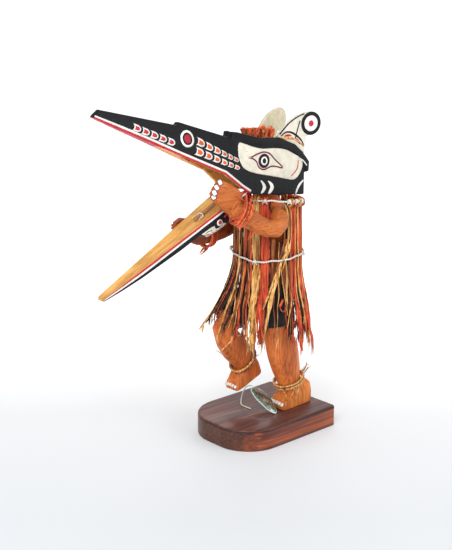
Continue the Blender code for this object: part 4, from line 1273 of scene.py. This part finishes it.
def wraps(name, node, c, t, a, b, spread_by, mats, slot, seed, tails, r=1.35, turns=4):
    rnd = random.Random(seed)
    soup = Soup()
    c = Vector(c)
    t = Vector(t).normalized()
    u = vec(1, 0, 0)
    u = (u - t * u.dot(t)).normalized()
    v = t.cross(u)
    for j in range(turns):
        off = (j - (turns - 1) / 2) * spread_by
        grow = rnd.uniform(-0.25, 0.45)
        ph = rnd.uniform(0, 6)
        path = []
        for w in angles(44):
            lean = 1.1 * sin(w + ph)
            k = 1 + 0.012 * sin(5 * w + ph)
            path.append(c + u * (a + grow) * k * cos(w) + v * (b + grow) * k * sin(w) + t * (off + lean))
        soup.tube(path, r * rnd.uniform(0.7, 1.05), 6, rnd.choice(mats), True, 0.6, up=tuple(t))
    for path in tails:
        for k in range(3):
            jit = []
            for i, p in enumerate(path):
                off = vec(rnd.uniform(-1, 1), rnd.uniform(-1, 1), rnd.uniform(-1, 1))
                jit.append(Vector(p) + off * (0.5 + 0.9 * i))
            thin = [1 - 0.6 * i / 11 for i in range(12)]
            soup.tube(spread(jit, 12), rnd.uniform(0.7, 1.25), 5, rnd.choice(mats), False, 0.6, thin)
    soup.build(name, BARKS, slot, [node])


LEFT_WRIST_ENDS = [
    [(46, -74, 360), (44, -80, 366), (40, -84, 371)], [(49, -72, 358), (48, -76, 366), (45, -77, 372)],
    [(52, -76, 354), (54, -84, 350), (51, -94, 345)], [(50, -78, 350), (49, -88, 344), (44, -98, 341)],
    [(50, -72, 354), (48, -73, 365), (45, -70, 374)], [(50, -66, 352), (49, -66, 362), (47, -62, 369)],
    [(50, -64, 328), (51, -66, 320), (52, -72, 312)], [(54, -62, 330), (57, -66, 322), (56, -72, 316)],
]
RIGHT_WRIST_ENDS = [
    [(-40, -68, 285), (-38, -73, 280), (-37, -82, 277)], [(-46, -66, 284), (-44, -72, 279), (-44, -78, 274)],
    [(-34, -70, 288), (-28, -78, 284), (-25, -86, 282)], [(-36, -74, 286), (-31, -82, 281), (-29, -92, 280)],
]
LEFT_ANKLE_ENDS = [
    [(26, 62, 78), (29, 67, 86), (31, 70, 95)], [(20, 66, 77), (24, 70, 84), (28, 72, 92)],
    [(30, 62, 78), (34, 66, 84), (36, 70, 90)], [(39, 36, 70), (41, 31, 60), (40, 27, 49)],
    [(40.5, 44, 69), (41, 39, 57), (40, 35, 46)], [(30, 18, 66), (35, 17, 59), (39, 21, 52)],
]
RIGHT_ANKLE_ENDS = [
    [(-40, -20, 110), (-46, -28, 117), (-49, -34, 124)], [(-37, -24, 112), (-44, -34, 113), (-50, -40, 117)],
    [(-12, -12, 102), (-7, -6, 108), (-4, 0, 116)],
]
wraps("wrist_wrap_left", "wrist_tie_left", (43.6, -78.6, 346.4), (-5, -12, 8), 14.6, 17.4, 2.4,
      (0, 0, 0, 4, 4), "red_bark", 3, LEFT_WRIST_ENDS, 1.7, 7)
wraps("wrist_wrap_right", "wrist_tie_right", (-44.0, -66.0, 299), (5, -20, 1), 14.2, 15.6, 2.4,
      (0, 0, 4, 4), "red_bark", 5, RIGHT_WRIST_ENDS, 1.8, 5)
wraps("ankle_wrap_left", "ankle_tie_left", (20, 41.0, 71.5), (0, 4.6, -17), 20.4, 24.4, 2.0,
      (1, 1, 1, 1, 3), "gold_bark", 7, LEFT_ANKLE_ENDS, 1.7)
wraps("ankle_wrap_right", "ankle_tie_right", (-26, -10.0, 103.5), (0, 13.5, -14), 18.9, 22.9, 1.9,
      (1, 1, 1, 3), "gold_bark", 9, RIGHT_ANKLE_ENDS, 1.7)


# Bark bunches on top of the mask

def leaves(name, node, cx, cy, wide, long, high, seed, mats):
    rnd = random.Random(seed)
    soup = Soup()
    for i in range(96):
        w = rnd.uniform(0, tau)
        far = sqrt(rnd.random())
        d = vec(cos(w), sin(w), 0)
        turn = w + pi / 2 + rnd.uniform(-0.9, 0.9)
        e = vec(cos(turn), sin(turn), 0)
        g = vec(e.y, -e.x, 0)
        x, y = cx + wide * far * d.x, cy + long * far * d.y
        hit = MASK_BVH.ray_cast(vec(x, y, 470), vec(0, 0, -1), 90)
        base = vec(x, y, (hit[0].z if hit[0] else 435) + 0.4)
        top_z = (438.0 if cy < -10 else 436.5) + high * rnd.uniform(0.7, 1.12)
        top = vec(x, y, top_z) + d * 3.6 * far + e * rnd.uniform(-1.8, 1.8)
        pts = spread([base, base.lerp(top, 0.5) - d * 0.5, top], 8)
        half = rnd.uniform(1.4, 2.9)
        rings = []
        for k, p in enumerate(pts):
            s = half * (0.85 + 0.25 * sin(k * 0.9 + i)) * (1.0 if k < 7 else 0.75)
            wave = g * 0.6 * sin(k * 1.1 + i)
            rings.append([p + e * s + g * 0.2 + wave, p + e * s * 0.3 + g * 0.6, p - e * s * 0.3 + g * 0.2,
                          p - e * s + g * 0.2 - wave * 0.5, p - e * s * 0.3 - g * 0.3,
            p + e * s * 0.3 - g * 0.3])
        soup.rings(rings, rnd.choice(mats))
    if name == "bark_tuft_rear":
        edge = [crest_place(1, s, z, 3.3) for s, z in ((-3, 441), (5, 438.4), (14, 439), (24, 437),
                (34, 431.5), (44, 424))]
        soup.tube(spread(edge, 30), 0.9, 6, 1)
        soup.tube(spread([p + vec(0.6, 0, -1.5) for p in edge[:4]], 20), 0.6, 6, 1)
    soup.build(name, BARKS, "red_bark", [node], 70)


leaves("bark_tuft_front", "bark_bunch_front", 0.0, -24.0, 10.0, 8.6, 15.0, 21, (4, 4, 4, 0, 3))
leaves("bark_tuft_rear", "bark_bunch_rear", 0.0, 5.0, 13.4, 12.6, 14.6, 22, (4, 4, 4, 0, 4, 1))


# Shell and its string

def shell_piece():
    soup = Soup()
    ax = vec(0.905, -0.06, -0.42).normalized()
    ay = vec(0.07, 0.995, 0.0).normalized()
    up = ax.cross(ay).normalized()
    c = vec(6.2, 3.0, 45.3)
    n = 64
    prof = [(0.06, 7.6), (0.18, 7.5), (0.32, 7.2), (0.52, 6.5), (0.72, 5.2), (0.87, 3.2), (0.955, 1.3),
            (1.0, -0.1), (0.985, -0.55), (0.94, -0.1), (0.86, 1.8), (0.70, 3.9), (0.5, 5.2), (0.3, 6.0),
    (0.16, 6.2), (0.05, 6.3)]
    rings = []
    for k, h in prof:
        ring = []
        for w in angles(n):
            r = 1.0 + 0.05 * cos(3 * w + 0.6)
            wave = (0.3 * sin(7 * w + 17 * k) + 0.2 * sin(40 * k)) * k
            ring.append(c + ax * 29.5 * k * r * cos(w) + ay * 11.2 * k * r * sin(w) + up * (h + wave))
        rings.append(ring)
    soup.rings(rings)
    ids = []
    for i in range(len(prof) - 1):
        ids += [0 if i < 5 else (3 if i == 5 else (2 if i < 9 else 1))] * n
    ids += [0, 1]
    soup.mats = ids
    return soup.build("abalone_shell", [M_SHELL_BACK, M_NACRE, M_WHITE, M_TEAL], "shell", ["shell"], 60)


shell_piece()
STRING = [(-20.0, 3.6, 59.5), (-22.6, -1.5, 60.6), (-24.6, -6.5, 57.5), (-25.6, -10.0, 52.0),
          (-25.8, -12.8, 44.0), (-25.0, -14.6, 36.0), (-22.0, -15.2, 33.1), (-13.0, -15.6, 33.1),
(-3.0, -15.3, 33.1)]
string_path = spread(STRING, 28)
string = Soup()
string.tube(string_path, 0.8, 8)
string_ob = string.build("shell_cord", [M_TWINE], "twine", ["shell_string"])


# Plinth

def plinth_piece():
    hx, hy = 70.0, 92.0
    soup = Soup()
    rings = []
    for inset, z in ((1.0, 0.0), (0.35, 0.3), (0.0, 1.0), (0.0, 8.0), (0.0, 16.0), (0.0, 24.0), (0.0, 29.0),
                     (0.25, 30.2), (0.9, 31.1), (1.9, 31.75), (3.0, 32.0)):
        rf = 56.0 - inset
        rr = max(5.0 - inset, 1.0)
        ex, ey = hx - inset, hy - inset
        pts = []
        for cx, cy, r, a0, n in ((ex - rr, ey - rr, rr, 0, 8), (-ex + rr, ey - rr, rr, 90, 8),
                                 (-ex + rf, -ey + rf, rf, 180, 28), (ex - rf, -ey + rf, rf, 270, 28)):
            for i in range(n):
                w = radians(a0 + 90 * i / (n - 1))
                pts.append((cx + r * cos(w), cy + r * sin(w), z))
        rings.append(pts)
    soup.rings(rings)
    return soup.build("plinth_board", [M_PLINTH], "plinth_wood", ["plinth"], 30)


plinth_piece()


# Floor and light

floor_mesh = bpy.data.meshes.new("floor")
floor_mesh.from_pydata([(40 * cos(w), 40 * sin(w), -0.0002) for w in angles(64)], [], [tuple(range(64))])
floor = new_object("floor", floor_mesh)
# Painted light and shade on the floor: its colour is greyer towards the camera, and its glow rises towards
# the far side and away from the middle.
ground = Shader("floor_painted_light_and_shade", 0.9, 0.1)
place = ground.coords((1, 1, 1), shift=(-0.37, 0.335, 0.0))
far = ground.maths("VectorMath", "DOT_PRODUCT", place, (-0.74, 0.67, 0.0))["Value"]
away = ground.maths("VectorMath", "LENGTH", ground.coords((0.3, 0.3, 0.3)))["Value"]
tone = ground.ramp(far, [(0.2, (0.70, 0.725, 0.75)), (1.0, (0.92, 0.92, 0.92))])
painted_glow = ground.ramp(far, [(0.0, (0.07, 0.075, 0.08)), (0.55, (0.13, 0.135, 0.14)),
                         (0.75, (0.28, 0.28, 0.285)), (1.0, (0.6, 0.6, 0.6))])
painted_glow = ground.mixed(1.0, painted_glow, ground.ramp(away, grey((0.3, 0.0), (0.8, 0.6))), "LIGHTEN")
ground.link(tone, ground.surface["Base Color"])
ground.link(painted_glow, ground.surface["Emission Color"])
ground.surface["Emission Strength"].default_value = 1.0
floor.data.materials.append(ground.mat)

world = bpy.data.worlds.new("studio")
world.use_nodes = True
sky = world.node_tree.nodes["Background"].inputs
sky["Color"].default_value = (1.0, 1.0, 1.0, 1.0)
sky["Strength"].default_value = 0.6
scene.world = world

# Name, place in metres, size, power
for name, at, size, power in (("key", (0.9, -1.3, 1.6), 1.1, 19.0), ("fill", (1.6, 0.6, 0.9), 1.2, 8.0),
                              ("low", (0.25, -1.5, 0.22), 0.8, 3.2), ("back", (-1.2, 1.3, 1.4), 1.4, 8.0)):
    data = bpy.data.lights.new(name, "AREA")
    data.shape = "RECTANGLE"
    data.size = size
    data.size_y = size * 0.7
    data.energy = power
    light = new_object(name, data)
    light.location = at
    light.rotation_euler = (vec(0, -0.05, 0.25) - Vector(at)).to_track_quat("-Z", "Y").to_euler()
scene.view_settings.view_transform = "Standard"
